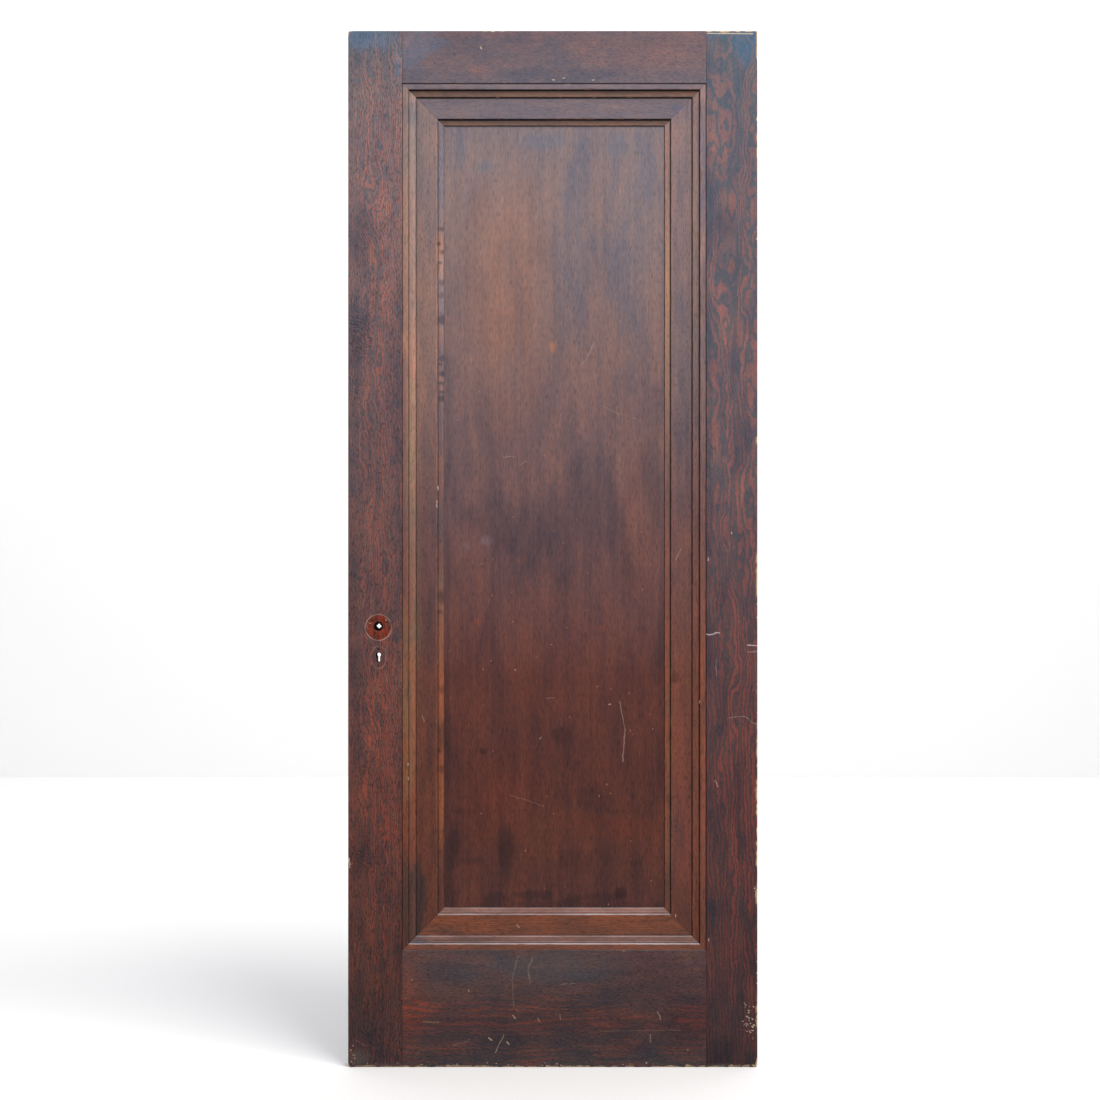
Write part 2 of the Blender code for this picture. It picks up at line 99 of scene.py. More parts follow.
mask = addNode(
    scratchTree, "ShaderNodeMapRange", {0: gap, 1: given["Width"], 2: 0.0, 3: 0.0, 4: given["Strength"]},
    interpolation_type="SMOOTHSTEP",
)
scratchTree.links.new(mask, result["Mask"])

# a soft oval on the face, for a stain, a lighter patch or the print of a lost fitting
patchTree = bpy.data.node_groups.new("patch", "ShaderNodeTree")
given, result = addSockets(
    patchTree,
    {"Point": "Vector", "Wobble": "Float", "Centre": "Vector", "Radii": "Vector", "Strength": "Float"},
    {"Mask": "Float", "Distance": "Float"},
)
away = addNode(
    patchTree, "ShaderNodeVectorMath", {0: given["Point"], 1: given["Centre"]}, operation="SUBTRACT",
)
away = addNode(patchTree, "ShaderNodeVectorMath", {0: away, 1: given["Radii"]}, operation="DIVIDE")
away = addNode(patchTree, "ShaderNodeVectorMath", {0: away}, output=1, operation="LENGTH")
rough = addNode(patchTree, "ShaderNodeMath", {0: away, 1: given["Wobble"]}, operation="ADD")
mask = addNode(
    patchTree, "ShaderNodeMapRange", {0: rough, 1: 1.25, 2: 0.35, 3: 0.0, 4: given["Strength"]},
    interpolation_type="SMOOTHSTEP",
)
patchTree.links.new(mask, result["Mask"])
patchTree.links.new(away, result["Distance"])


# varnished wood

# drawn out along the grain, in mm
def grainNoise(tree, point, width, length, shift, detail=2.0, roughness=0.5):
    placed = addNode(tree, "ShaderNodeMapping", {
        "Vector": point, "Location": (shift, 0.7 * shift, 1.3 * shift),
        "Scale": (1 / width, 1 / width, 1 / length),
    })
    return addNode(tree, "ShaderNodeTexNoise", {
        "Vector": placed, "Scale": 1.0, "Detail": detail, "Roughness": roughness,
    })


# marks give the group's other inputs in order, places as (x, z) in mm
def strongestMark(tree, group, shared, marks):
    names = [
        item.name for item in group.interface.items_tree if item.in_out == "INPUT" and item.name not in shared
    ]
    strongest = None
    for mark in marks:
        values = [(value[0], 0, value[1]) if isinstance(value, tuple) else value for value in mark]
        mask = addNode(tree, "ShaderNodeGroup", {**shared, **dict(zip(names, values))}, node_tree=group)
        if strongest is None:
            strongest = mask
        else:
            strongest = addNode(tree, "ShaderNodeMath", {0: strongest, 1: mask}, operation="MAXIMUM")
    return strongest


def setStops(ramp, stops):  # stops are a place from 0 to 1 and a linear colour
    elements = ramp.node.color_ramp.elements
    while len(elements) < len(stops):
        elements.new(0.5)
    for element, (place, colour) in zip(elements, stops):
        element.position = place
    for element, (place, colour) in zip(elements, stops):
        element.color = colour


def figureLines(tree, grainPoint, axes, across, height, look):
    # growth rings cut lengthwise: the distance across the board, bent by several sizes of figure
    shift = look["shift"]
    fromMiddle = addNode(tree, "ShaderNodeMath", {0: across, 1: look["middle"]}, operation="SUBTRACT")
    gain = addNode(tree, "ShaderNodeMapRange", {0: height, 3: look["gain"][0], 4: look["gain"][1]})
    ring = addNode(tree, "ShaderNodeMath", {0: fromMiddle, 1: gain}, operation="MULTIPLY")
    ring = addNode(tree, "ShaderNodeMath", {0: axes["Y"], 1: 0.45, 2: ring}, operation="MULTIPLY_ADD")
    for i, (width, length, low, high) in enumerate(look["figure"]):
        bend = grainNoise(tree, grainPoint, width, length, shift + 3.1 * i, detail=1.0)
        size = addNode(tree, "ShaderNodeMapRange", {0: height, 3: 2.0 * low, 4: 2.0 * high})
        ring = addNode(tree, "ShaderNodeMath", {0: bend, 1: size, 2: ring}, operation="MULTIPLY_ADD")
    ring = addNode(tree, "ShaderNodeMath", {0: ring, 1: look["ringSpacing"]}, operation="DIVIDE")
    ringNumber = addNode(tree, "ShaderNodeMath", {0: ring}, operation="FLOOR")
    ringStrength = addNode(tree, "ShaderNodeTexWhiteNoise", {"W": ringNumber}, noise_dimensions="1D")
    ringStrength = addNode(tree, "ShaderNodeMapRange", {0: ringStrength, 3: look["ringLeast"], 4: 1.0})
    through = addNode(tree, "ShaderNodeMath", {0: ring}, operation="FRACT")
    rise = addNode(
        tree, "ShaderNodeMapRange", {0: through, 1: look["ringRise"][0], 2: look["ringRise"][1]},
        interpolation_type="SMOOTHSTEP",
    )
    fall = addNode(
        tree, "ShaderNodeMapRange", {0: through, 1: 1.0, 2: look["ringFall"]},
        interpolation_type="SMOOTHSTEP",
    )
    lines = addNode(tree, "ShaderNodeMath", {0: rise, 1: fall}, operation="MULTIPLY")
    lines = addNode(tree, "ShaderNodeMath", {0: lines, 1: ringStrength}, operation="MULTIPLY")
    mottle = grainNoise(tree, grainPoint, *look["breakSize"], shift + 11, detail=3.0, roughness=0.6)
    broken = addNode(
        tree, "ShaderNodeMapRange",
        {0: mottle, 1: look["breakFrom"], 2: look["breakFrom"] + 0.16, 3: look["breakLeast"], 4: 1.0},
        interpolation_type="SMOOTHSTEP",
    )
    lines = addNode(tree, "ShaderNodeMath", {0: lines, 1: broken}, operation="MULTIPLY")
    low, high = look.get("ringHeights", (3000, 4000))  # mm up the door, the lines fade out between them
    amount = addNode(
        tree, "ShaderNodeMapRange", {0: axes["Z"], 1: low, 2: high, 3: look["ringAmount"], 4: 0.08},
    )
    return addNode(tree, "ShaderNodeMath", {0: lines, 1: amount}, operation="MULTIPLY"), mottle


def woodMaterial(name, look):
    material = bpy.data.materials.new(name)
    material.use_nodes = True
    tree = material.node_tree
    tree.nodes.clear()
    place = addNode(tree, "ShaderNodeTexCoord", output="Object")
    # the door's own coordinates, in mm
    point = addNode(tree, "ShaderNodeVectorMath", {0: place, 1: (1000, 1000, 1000)}, operation="MULTIPLY")
    axes = addNode(tree, "ShaderNodeSeparateXYZ", {0: point}).node.outputs
    across, along = (axes["Z"], axes["X"]) if look["grain"] == "x" else (axes["X"], axes["Z"])
    grainPoint = addNode(tree, "ShaderNodeCombineXYZ", {"X": across, "Y": axes["Y"], "Z": along})
    facePoint = addNode(tree, "ShaderNodeCombineXYZ", {"X": axes["X"], "Z": axes["Z"]})
    front = addNode(tree, "ShaderNodeMath", {0: axes["Y"], 1: look["frontBelow"]}, operation="LESS_THAN")
    height = addNode(tree, "ShaderNodeMath", {0: axes["Z"], 1: doorTop}, operation="DIVIDE")
    shift = look["shift"]

    # the mean tone up the board, with its painted sky reflection high up, tinted by the figure
    lines, mottle = figureLines(tree, grainPoint, axes, across, height, look)
    tone = addNode(tree, "ShaderNodeValToRGB", {0: height})
    setStops(tone, [(z / doorTop, linear(hexColour)) for z, hexColour in look["tones"]])
    tint = addNode(
        tree, "ShaderNodeMix", {0: lines, 6: (*look["gapTint"], 1), 7: (*look["lineTint"], 1)},
        output=2, data_type="RGBA",
    )
    colour = addNode(tree, "ShaderNodeVectorMath", {0: tone, 1: tint}, operation="MULTIPLY")

    # the varnish is cloudy: bluish grey where it has bloomed, orange brown where it is still clear
    clouds = grainNoise(tree, grainPoint, *look["cloudSize"], shift + 23, detail=3.0, roughness=0.6)
    cloudiness = addNode(tree, "ShaderNodeMapRange", {0: clouds, 1: 0.3, 2: 0.7})
    cloudTint = addNode(
        tree, "ShaderNodeMix", {0: cloudiness, 6: (*look["cloudDark"], 1), 7: (*look["cloudLight"], 1)},
        output=2, data_type="RGBA",
    )
    colour = addNode(tree, "ShaderNodeVectorMath", {0: colour, 1: cloudTint}, operation="MULTIPLY")
    blotch = look["mottle"]
    blotchiness = addNode(tree, "ShaderNodeMapRange", {0: mottle, 1: 0.3, 2: 0.7})
    blotchTint = addNode(
        tree, "ShaderNodeMix",
        {
            0: blotchiness, 6: (1 - blotch, 1 - 0.5 * blotch, 1, 1),
            7: (1 + blotch, 1 + 0.5 * blotch, 1, 1),
        },
        output=2, data_type="RGBA",
    )
    colour = addNode(tree, "ShaderNodeVectorMath", {0: colour, 1: blotchTint}, operation="MULTIPLY")

    # fine fibres, long streaks and open pores, drawn 1 to 2 mm wide: real ones are too fine to show
    width, length, amount = look["fibre"]
    fibres = grainNoise(tree, grainPoint, width, length, shift + 31, roughness=0.7)
    fine = addNode(
        tree, "ShaderNodeMapRange", {0: fibres, 1: 0.25, 2: 0.75, 3: 1 - amount, 4: 1 + amount},
    )
    width, length, amount = look["streak"]
    streaks = grainNoise(tree, grainPoint, width, length, shift + 37, detail=1.0)
    streaks = addNode(
        tree, "ShaderNodeMapRange", {0: streaks, 1: 0.3, 2: 0.7, 3: 1 - amount, 4: 1 + amount},
    )
    fine = addNode(tree, "ShaderNodeMath", {0: fine, 1: streaks}, operation="MULTIPLY")
    width, length, amount = look["pore"]
    pores = grainNoise(tree, grainPoint, width, length, shift + 43, detail=0.0)
    pores = addNode(
        tree, "ShaderNodeMapRange", {0: pores, 1: 0.56, 2: 0.68, 3: 1.0, 4: 1 - amount},
        interpolation_type="SMOOTHSTEP",
    )
    fine = addNode(tree, "ShaderNodeMath", {0: fine, 1: pores}, operation="MULTIPLY")
    colour = addNode(tree, "ShaderNodeVectorMath", {0: colour, "Scale": fine}, operation="SCALE")

    # the varnish has bloomed grey high on the door, and a painted reflection of the sky lightens it there
    # too: together they soften the figure
    bloomAndSheen = addNode(
        tree, "ShaderNodeMapRange", {0: axes["Z"], 1: 600.0, 2: 1800.0, 3: 0.0, 4: look["bloomAndSheen"]},
    )
    colour = addNode(
        tree, "ShaderNodeMix", {0: bloomAndSheen, 6: colour, 7: linear(look["bloomAndSheenColour"])},
        output=2, data_type="RGBA",
    )

    # the varnish has a satin sheen, uneven with the clouds, and it is rougher where the bands paint shade
    # into a corner
    gloss = addNode(tree, "ShaderNodeMapRange", {
        0: clouds, 1: 0.3, 2: 0.7, 3: look["roughness"][0], 4: look["roughness"][1],
    })
    if "bands" in look:
        u = addNode(tree, "ShaderNodeAttribute", output="Fac", attribute_name="across")
        u = addNode(tree, "ShaderNodeMath", {0: u, 1: sectionWidth}, operation="DIVIDE")
        stops = [
            (at / sectionWidth, (level * (1 + warmth) / 4, level / 4, level * (1 - warmth) / 4, 1))
            for at, level, warmth in look["bands"]
        ]
        band = addNode(tree, "ShaderNodeValToRGB", {0: u})
        setStops(band, stops)
        band = addNode(tree, "ShaderNodeVectorMath", {0: band, "Scale": 4.0}, operation="SCALE")
        colour = addNode(tree, "ShaderNodeVectorMath", {0: colour, 1: band}, operation="MULTIPLY")
        level = addNode(tree, "ShaderNodeSeparateXYZ", {0: band}, output="Y")
        paintedCornerShade = addNode(tree, "ShaderNodeMapRange", {0: level, 1: 0.6, 2: 0.1})
        gloss = addNode(tree, "ShaderNodeMix", {0: paintedCornerShade, 2: gloss, 3: 0.85})
        # painted highlights: pale lines along the upward ledges and arrises, and a faint painted reflection
        # across the sloped faces between them
        for at, reach, strength in look.get("ledgeHighlights", ()):
            ledgeHighlight = addNode(
                tree, "ShaderNodeMath", {0: u, 1: at / sectionWidth, 2: reach / sectionWidth},
                operation="COMPARE",
            )
            ledgeHighlight = addNode(tree, "ShaderNodeMath", {0: ledgeHighlight, 1: strength}, operation="MULTIPLY")
            uneven = addNode(tree, "ShaderNodeMapRange", {0: clouds, 1: 0.35, 2: 0.6, 3: 0.45, 4: 1.0})
            ledgeHighlight = addNode(tree, "ShaderNodeMath", {0: ledgeHighlight, 1: uneven}, operation="MULTIPLY")
            colour = addNode(
                tree, "ShaderNodeMix", {0: ledgeHighlight, 6: colour, 7: linear(look["ledgeHighlightColour"])},
                output=2, data_type="RGBA",
            )

    # stains, bloom, redder wood, hazy dust, painted shade in empty screw holes and a painted sheen of the
    # sky, each a soft ragged oval on the front
    wobble = addNode(tree, "ShaderNodeMapRange", {0: clouds, 3: -1.2, 4: 1.2})
    ragged = {"Point": facePoint, "Wobble": wobble}
    for kind in look.get("patches", ()):
        mask = strongestMark(tree, patchTree, ragged, kind["at"])
        mask = addNode(tree, "ShaderNodeMath", {0: mask, 1: front}, operation="MULTIPLY")
        changed = addNode(tree, "ShaderNodeVectorMath", {
            0: colour, 1: kind["tint"], 2: kind.get("hazeAndSheen", (0, 0, 0)),
        }, operation="MULTIPLY_ADD")
        colour = addNode(
            tree, "ShaderNodeMix", {0: mask, 6: colour, 7: changed}, output=2, data_type="RGBA",
        )

    # curl: fine dark ripples across the grain in a few places
    if "ripples" in look:
        ripples = look["ripples"]
        direction = (ripples["slope"][0] / ripples["pitch"], 0, ripples["slope"][1] / ripples["pitch"])
        wave = addNode(
            tree, "ShaderNodeVectorMath", {0: facePoint, 1: direction}, output=1, operation="DOT_PRODUCT",
        )
        bent = grainNoise(tree, facePoint, 26, 26, shift + 61)
        wave = addNode(tree, "ShaderNodeMath", {0: bent, 1: 5.0, 2: wave}, operation="MULTIPLY_ADD")
        wave = addNode(tree, "ShaderNodeMath", {0: wave, 1: 0.5}, operation="PINGPONG")
        wave = addNode(
            tree, "ShaderNodeMapRange", {0: wave, 1: 0.18, 2: 0.36}, interpolation_type="SMOOTHSTEP",
        )
        mask = strongestMark(tree, patchTree, ragged, ripples["at"])
        wave = addNode(tree, "ShaderNodeMath", {0: wave, 1: mask}, operation="MULTIPLY")
        changed = addNode(
            tree, "ShaderNodeVectorMath", {0: colour, 1: ripples["tint"]}, operation="MULTIPLY",
        )
        colour = addNode(
            tree, "ShaderNodeMix", {0: wave, 6: colour, 7: changed}, output=2, data_type="RGBA",
        )

    # prints of the lost rose and escutcheon: a thin pale rim around cleaner wood
    for centre, radii, clear, rimStrength in look["prints"]:
        spot = addNode(tree, "ShaderNodeGroup", {
            "Point": facePoint, "Centre": (centre[0], 0, centre[1]), "Radii": (radii[0], 0, radii[1]),
        }, output="Distance", node_tree=patchTree)
        inside = addNode(
            tree, "ShaderNodeMapRange", {0: spot, 1: 1.0, 2: 0.94, 3: 0.0, 4: clear},
            interpolation_type="SMOOTHSTEP",
        )
        clean = addNode(
            tree, "ShaderNodeVectorMath", {0: colour, 1: look["printTint"]}, operation="MULTIPLY",
        )
        colour = addNode(
            tree, "ShaderNodeMix", {0: inside, 6: colour, 7: clean}, output=2, data_type="RGBA",
        )
        rim = addNode(tree, "ShaderNodeMath", {0: spot, 1: 1.02, 2: 0.75 / radii[0]}, operation="COMPARE")
        worn = addNode(
            tree, "ShaderNodeMapRange",
            {0: mottle, 1: 0.4, 2: 0.6, 3: 0.25 * rimStrength, 4: rimStrength},
        )
        rim = addNode(tree, "ShaderNodeMath", {0: rim, 1: worn}, operation="MULTIPLY")
        colour = addNode(
            tree, "ShaderNodeMix", {0: rim, 6: colour, 7: linear(look["rimColour"])}, output=2,
            data_type="RGBA",
        )

    # flecks knocked out of the varnish, some of them showing orange wood
    cell = addNode(
        tree, "ShaderNodeMapping",
        {"Vector": grainPoint, "Location": (shift, 0, 0), "Scale": look["fleckGrid"]},
    )
    cell = addNode(tree, "ShaderNodeTexVoronoi", {"Vector": cell, "Scale": 1.0}).node.outputs
    chance = addNode(tree, "ShaderNodeSeparateXYZ", {0: cell["Color"]}).node.outputs
    share = addNode(
        tree, "ShaderNodeMapRange", {0: height, 3: 1.6 * look["fleckShare"], 4: 0.2 * look["fleckShare"]},
    )
    rare = addNode(tree, "ShaderNodeMath", {0: chance["X"], 1: share}, operation="LESS_THAN")
    fleck = addNode(
        tree, "ShaderNodeMapRange", {0: cell["Distance"], 1: 0.085, 2: 0.03, 3: 0.0, 4: 0.6},
        interpolation_type="SMOOTHSTEP",
    )
    fleck = addNode(tree, "ShaderNodeMath", {0: fleck, 1: rare}, operation="MULTIPLY")
    knocked = addNode(
        tree, "ShaderNodeMix",
        {0: chance["Y"], 6: linear(look["scratchColour"]), 7: linear(look["fleckColour"])},
        output=2, data_type="RGBA",
    )
    colour = addNode(tree, "ShaderNodeMix", {0: fleck, 6: colour, 7: knocked}, output=2, data_type="RGBA")

    # scratches through the varnish, a little shaken and broken up by the fibres
    shake = addNode(
        tree, "ShaderNodeTexNoise", {"Vector": point, "Scale": 0.12, "Detail": 1.0}, output="Color",
    )
    shake = addNode(
        tree, "ShaderNodeVectorMath", {0: shake, 1: (5, 0, 5), 2: (-2.5, 0, -2.5)},
        operation="MULTIPLY_ADD",
    )
    shaken = addNode(tree, "ShaderNodeVectorMath", {0: facePoint, 1: shake}, operation="ADD")
    if look["scratches"]:
        mask = strongestMark(tree, scratchTree, {"Point": shaken}, look["scratches"])
        mask = addNode(tree, "ShaderNodeMath", {0: mask, 1: front}, operation="MULTIPLY")
        torn = addNode(tree, "ShaderNodeMapRange", {0: fibres, 1: 0.3, 2: 0.6, 3: 0.4, 4: 1.0})
        mask = addNode(tree, "ShaderNodeMath", {0: mask, 1: torn}, operation="MULTIPLY")
        colour = addNode(
            tree, "ShaderNodeMix", {0: mask, 6: colour, 7: linear(look["scratchColour"])},
            output=2, data_type="RGBA",
        )
        fleck = addNode(tree, "ShaderNodeMath", {0: fleck, 1: mask}, operation="MAXIMUM")

    # clusters of small chips down to pale wood
    if "chipped" in look:
        mask = strongestMark(tree, patchTree, {"Point": facePoint, "Wobble": 0.0}, look["chipped"])
        mask = addNode(tree, "ShaderNodeMath", {0: mask, 1: front}, operation="MULTIPLY")
        small = addNode(
            tree, "ShaderNodeTexVoronoi", {"Vector": shaken, "Scale": 1 / look["chipSize"]},
        ).node.outputs
        luck = addNode(tree, "ShaderNodeSeparateXYZ", {0: small["Color"]}).node.outputs
        hit = addNode(tree, "ShaderNodeMath", {0: luck["X"], 1: mask}, operation="LESS_THAN")
        size = addNode(tree, "ShaderNodeMapRange", {0: luck["Y"], 3: 0.2, 4: 0.5})
        chip = addNode(tree, "ShaderNodeMapRange", {0: small["Distance"], 1: size, 2: 0.12})
        chip = addNode(tree, "ShaderNodeMath", {0: chip, 1: hit}, operation="MULTIPLY")
        chip = addNode(tree, "ShaderNodeMath", {0: chip, 1: 0.85}, operation="MULTIPLY")
        pale = addNode(
            tree, "ShaderNodeMix",
            {0: luck["Z"], 6: linear(look["scratchColour"]), 7: linear(look["chipColour"])},
            output=2, data_type="RGBA",
        )
        colour = addNode(tree, "ShaderNodeMix", {0: chip, 6: colour, 7: pale}, output=2, data_type="RGBA")
        fleck = addNode(tree, "ShaderNodeMath", {0: fleck, 1: chip}, operation="MAXIMUM")
    if "pale" in look:  # rubbed lines, lighter than a scratch
        mask = strongestMark(tree, scratchTree, {"Point": facePoint}, look["pale"])
        mask = addNode(tree, "ShaderNodeMath", {0: mask, 1: front}, operation="MULTIPLY")
        colour = addNode(
            tree, "ShaderNodeMix", {0: mask, 6: colour, 7: linear(look["chipColour"])}, output=2,
            data_type="RGBA",
        )

    # bare wood where the arris is rubbed through
    bare = addNode(tree, "ShaderNodeAttribute", output="Fac", attribute_name="bare")
    uneven = addNode(tree, "ShaderNodeMapRange", {0: fibres, 1: 0.35, 2: 0.65, 3: -0.35, 4: 0.35})
    bare = addNode(tree, "ShaderNodeMath", {0: bare, 1: uneven}, operation="ADD")
    bare = addNode(
        tree, "ShaderNodeMapRange", {0: bare, 1: 0.3, 2: 0.75}, interpolation_type="SMOOTHSTEP",
    )
    bareTone = addNode(
        tree, "ShaderNodeMix", {0: cloudiness, 6: linear(look["bareDark"]), 7: linear(look["bareLight"])},
        output=2, data_type="RGBA",
    )
    colour = addNode(tree, "ShaderNodeMix", {0: bare, 6: colour, 7: bareTone}, output=2, data_type="RGBA")

    gloss = addNode(tree, "ShaderNodeMix", {0: bare, 2: gloss, 3: 0.8})
    gloss = addNode(tree, "ShaderNodeMix", {0: fleck, 2: gloss, 3: 0.75})
    bump = addNode(
        tree, "ShaderNodeBump", {"Height": fibres, "Strength": look["bump"], "Distance": 0.15 * mm},
    )
    surface = addNode(
        tree, "ShaderNodeBsdfPrincipled",
        {
            "Base Color": colour, "Roughness": gloss, "IOR": 1.5, "Specular IOR Level": look["shine"],
            "Normal": bump,
        },
    )
    addNode(tree, "ShaderNodeOutputMaterial", {"Surface": surface})
    return material


# two tones of one surface, blotches of size mm
def plainMaterial(name, dark, light, size, metallic, roughness, bump):
    material = bpy.data.materials.new(name)
    material.use_nodes = True
    tree = material.node_tree
    tree.nodes.clear()
    place = addNode(tree, "ShaderNodeTexCoord", output="Object")
    point = addNode(tree, "ShaderNodeVectorMath", {0: place, 1: (1000, 1000, 1000)}, operation="MULTIPLY")
    blotch = addNode(
        tree, "ShaderNodeTexNoise", {"Vector": point, "Scale": 1 / size, "Detail": 4.0, "Roughness": 0.6},
    )
    share = addNode(
        tree, "ShaderNodeMapRange", {0: blotch, 1: 0.35, 2: 0.65}, interpolation_type="SMOOTHSTEP",
    )
    colour = addNode(
        tree, "ShaderNodeMix", {0: share, 6: linear(dark), 7: linear(light)}, output=2, data_type="RGBA",
    )
    dull = addNode(
        tree, "ShaderNodeMapRange", {0: blotch, 1: 0.35, 2: 0.65, 3: roughness[1], 4: roughness[0]},
    )
    relief = addNode(tree, "ShaderNodeBump", {"Height": blotch, "Strength": bump, "Distance": 0.2 * mm})
    surface = addNode(
        tree, "ShaderNodeBsdfPrincipled",
        {"Base Color": colour, "Metallic": metallic, "Roughness": dull, "Normal": relief},
    )
    addNode(tree, "ShaderNodeOutputMaterial", {"Surface": surface})
    return material


def newObject(name, mesh):
    piece = bpy.data.objects.new(name, mesh)
    scene.collection.objects.link(piece)
    return piece


def evaluatedMesh(piece):
    bpy.context.view_layer.update()
    graph = bpy.context.evaluated_depsgraph_get()
    return bpy.data.meshes.new_from_object(piece.evaluated_get(graph), depsgraph=graph)


def softenEdges(mesh, angle):  # edges steeper than the angle, in radians, stay sharp
    mesh.shade_smooth()
    mesh.set_sharp_from_angle(angle=angle)


# the four boards: worn blanks, cut by the frame's own boards

def gridLine(low, high, step):  # coordinates close together near both ends
    near = np.array([0, 0.35, 0.8, 1.4, 2.1, 3.0, 4.2, 6.0]) * mm
    cells = max(2, round((high - low - 2 * near[-1]) / step) + 1)
    inner = np.linspace(low + near[-1], high - near[-1], cells)
    return np.concatenate([low + near[:-1], inner, (high - near[:-1])[::-1]])


def boxGrid(lines):  # the surface of a box cut into cells, as points and outward quads
    counts = [len(line) for line in lines]
    shell = np.zeros(counts, bool)
    shell[[0, -1]] = shell[:, [0, -1]] = shell[:, :, [0, -1]] = True
    index = np.full(counts, -1)
    index[shell] = np.arange(shell.sum())
    cells = np.nonzero(shell)
    points = np.stack([line[cell] for line, cell in zip(lines, cells)], axis=1)
    quads = []
    for axis in range(3):
        for side in (0, -1):
            plane = np.take(index, side, axis=axis)
            corners = (plane[:-1, :-1], plane[1:, :-1], plane[1:, 1:], plane[:-1, 1:])
            ring = np.stack(corners, axis=-1).reshape(-1, 4)
            quads.append(ring[:, ::-1] if (side == 0) != (axis == 1) else ring)
    return points, np.concatenate(quads)


# mm: the blank lies this far inside the real board and runs this far into a joint,
# its nicks and slow waves have these sizes, and the planed face is hollow by this much
blankSizes = {"inset": 0.05, "intoJoint": 2.5, "nick": 9, "wave": 70, "hollow": 0.06}


def wornBoard(name, look):
    low, high = (np.array(corner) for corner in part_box(name))
    inset = blankSizes["inset"] * mm
    # sides inside the door: the frame's own surface shows there
    hidden = np.array(look["protected"], float)
    low = low + inset - blankSizes["intoJoint"] * mm * hidden[0]
    high = high - inset + blankSizes["intoJoint"] * mm * hidden[1]
    steps = look["cells"]
    points, quads = boxGrid([gridLine(low[i], high[i], steps[i] * mm) for i in range(3)])
    centre = (low + high) / 2
    half = (high - low) / 2

    radius = np.full(len(points), look["arris"])
    nick, wave = blankSizes["nick"] * mm, blankSizes["wave"] * mm
    rough = np.array([noise.noise(Vector(p) / nick + Vector((look["seed"], 0, 0))) for p in points])
    slow = np.array([noise.noise(Vector(p) / wave + Vector((0, look["seed"], 0))) for p in points])
    radius += look["unevenness"] * np.clip(0.6 * rough + 0.6 * slow, 0, 1)
    for spot, size, depth in look["rubbed"]:
        away = (points - np.array(spot) * mm) / (np.array(size) * mm)
        fade = np.clip(1.15 - np.linalg.norm(away, axis=1), 0, 1)
        radius += depth * fade * np.clip(0.55 + 1.3 * rough, 0, 1.6)
    radius = radius[:, None] * mm

    sign = np.sign(points - centre)
    offset = np.abs(points - centre)
    core = np.minimum(offset, half - radius)
    beyond = offset - core
    length = np.linalg.norm(beyond, axis=1, keepdims=True)
    rounded = core + beyond * np.minimum(1, radius / np.maximum(length, 1e-9))
    near = np.sort(beyond, axis=1)[:, 1] / radius[:, 0]  # 0 on a face, 1 on the arris
    points = centre + sign * rounded
    hollow = blankSizes["hollow"] * mm * np.clip(slow + 0.3, 0, 1)  # the planed face isn't quite flat
    flat = beyond[:, 1] > 0.9 * length[:, 0]
    points[:, 1] -= np.where(flat, sign[:, 1] * hollow, 0)

    mesh = bpy.data.meshes.new(name + "_worn")
    mesh.from_pydata(points.tolist(), [], quads.tolist())
    wornThrough = np.clip((radius[:, 0] / mm - look["arris"] - look["bareFrom"]) / 0.8, 0, 1)
    bare = (np.clip(near / 0.3, 0, 1) * wornThrough).astype(np.float32)
    mesh.attributes.new("bare", "FLOAT", "POINT").data.foreach_set("value", bare)
    mesh.update()
    blank = newObject(name + "_worn", mesh)

    cut = bmesh.new()
    cut.from_mesh(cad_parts[name].data)
    bmesh.ops.remove_doubles(cut, verts=cut.verts, dist=2e-6)
    cutMesh = bpy.data.meshes.new(name + "_cut")
    cut.to_mesh(cutMesh)
    cut.free()
    cutter = newObject(name + "_cut", cutMesh)
    common = blank.modifiers.new("common", "BOOLEAN")
    common.operation = "INTERSECT"
    common.solver = "EXACT"
    common.object = cutter
    finished = evaluatedMesh(blank)
    bpy.data.objects.remove(blank)
    bpy.data.objects.remove(cutter)
    finished.materials.clear()
    finished.materials.append(look["material"])
    softenEdges(finished, 0.6)
    piece = newObject(name + "_board", finished)
    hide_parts(name)
    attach(piece, "door")
    print(name, len(finished.polygons), "faces")
    return piece
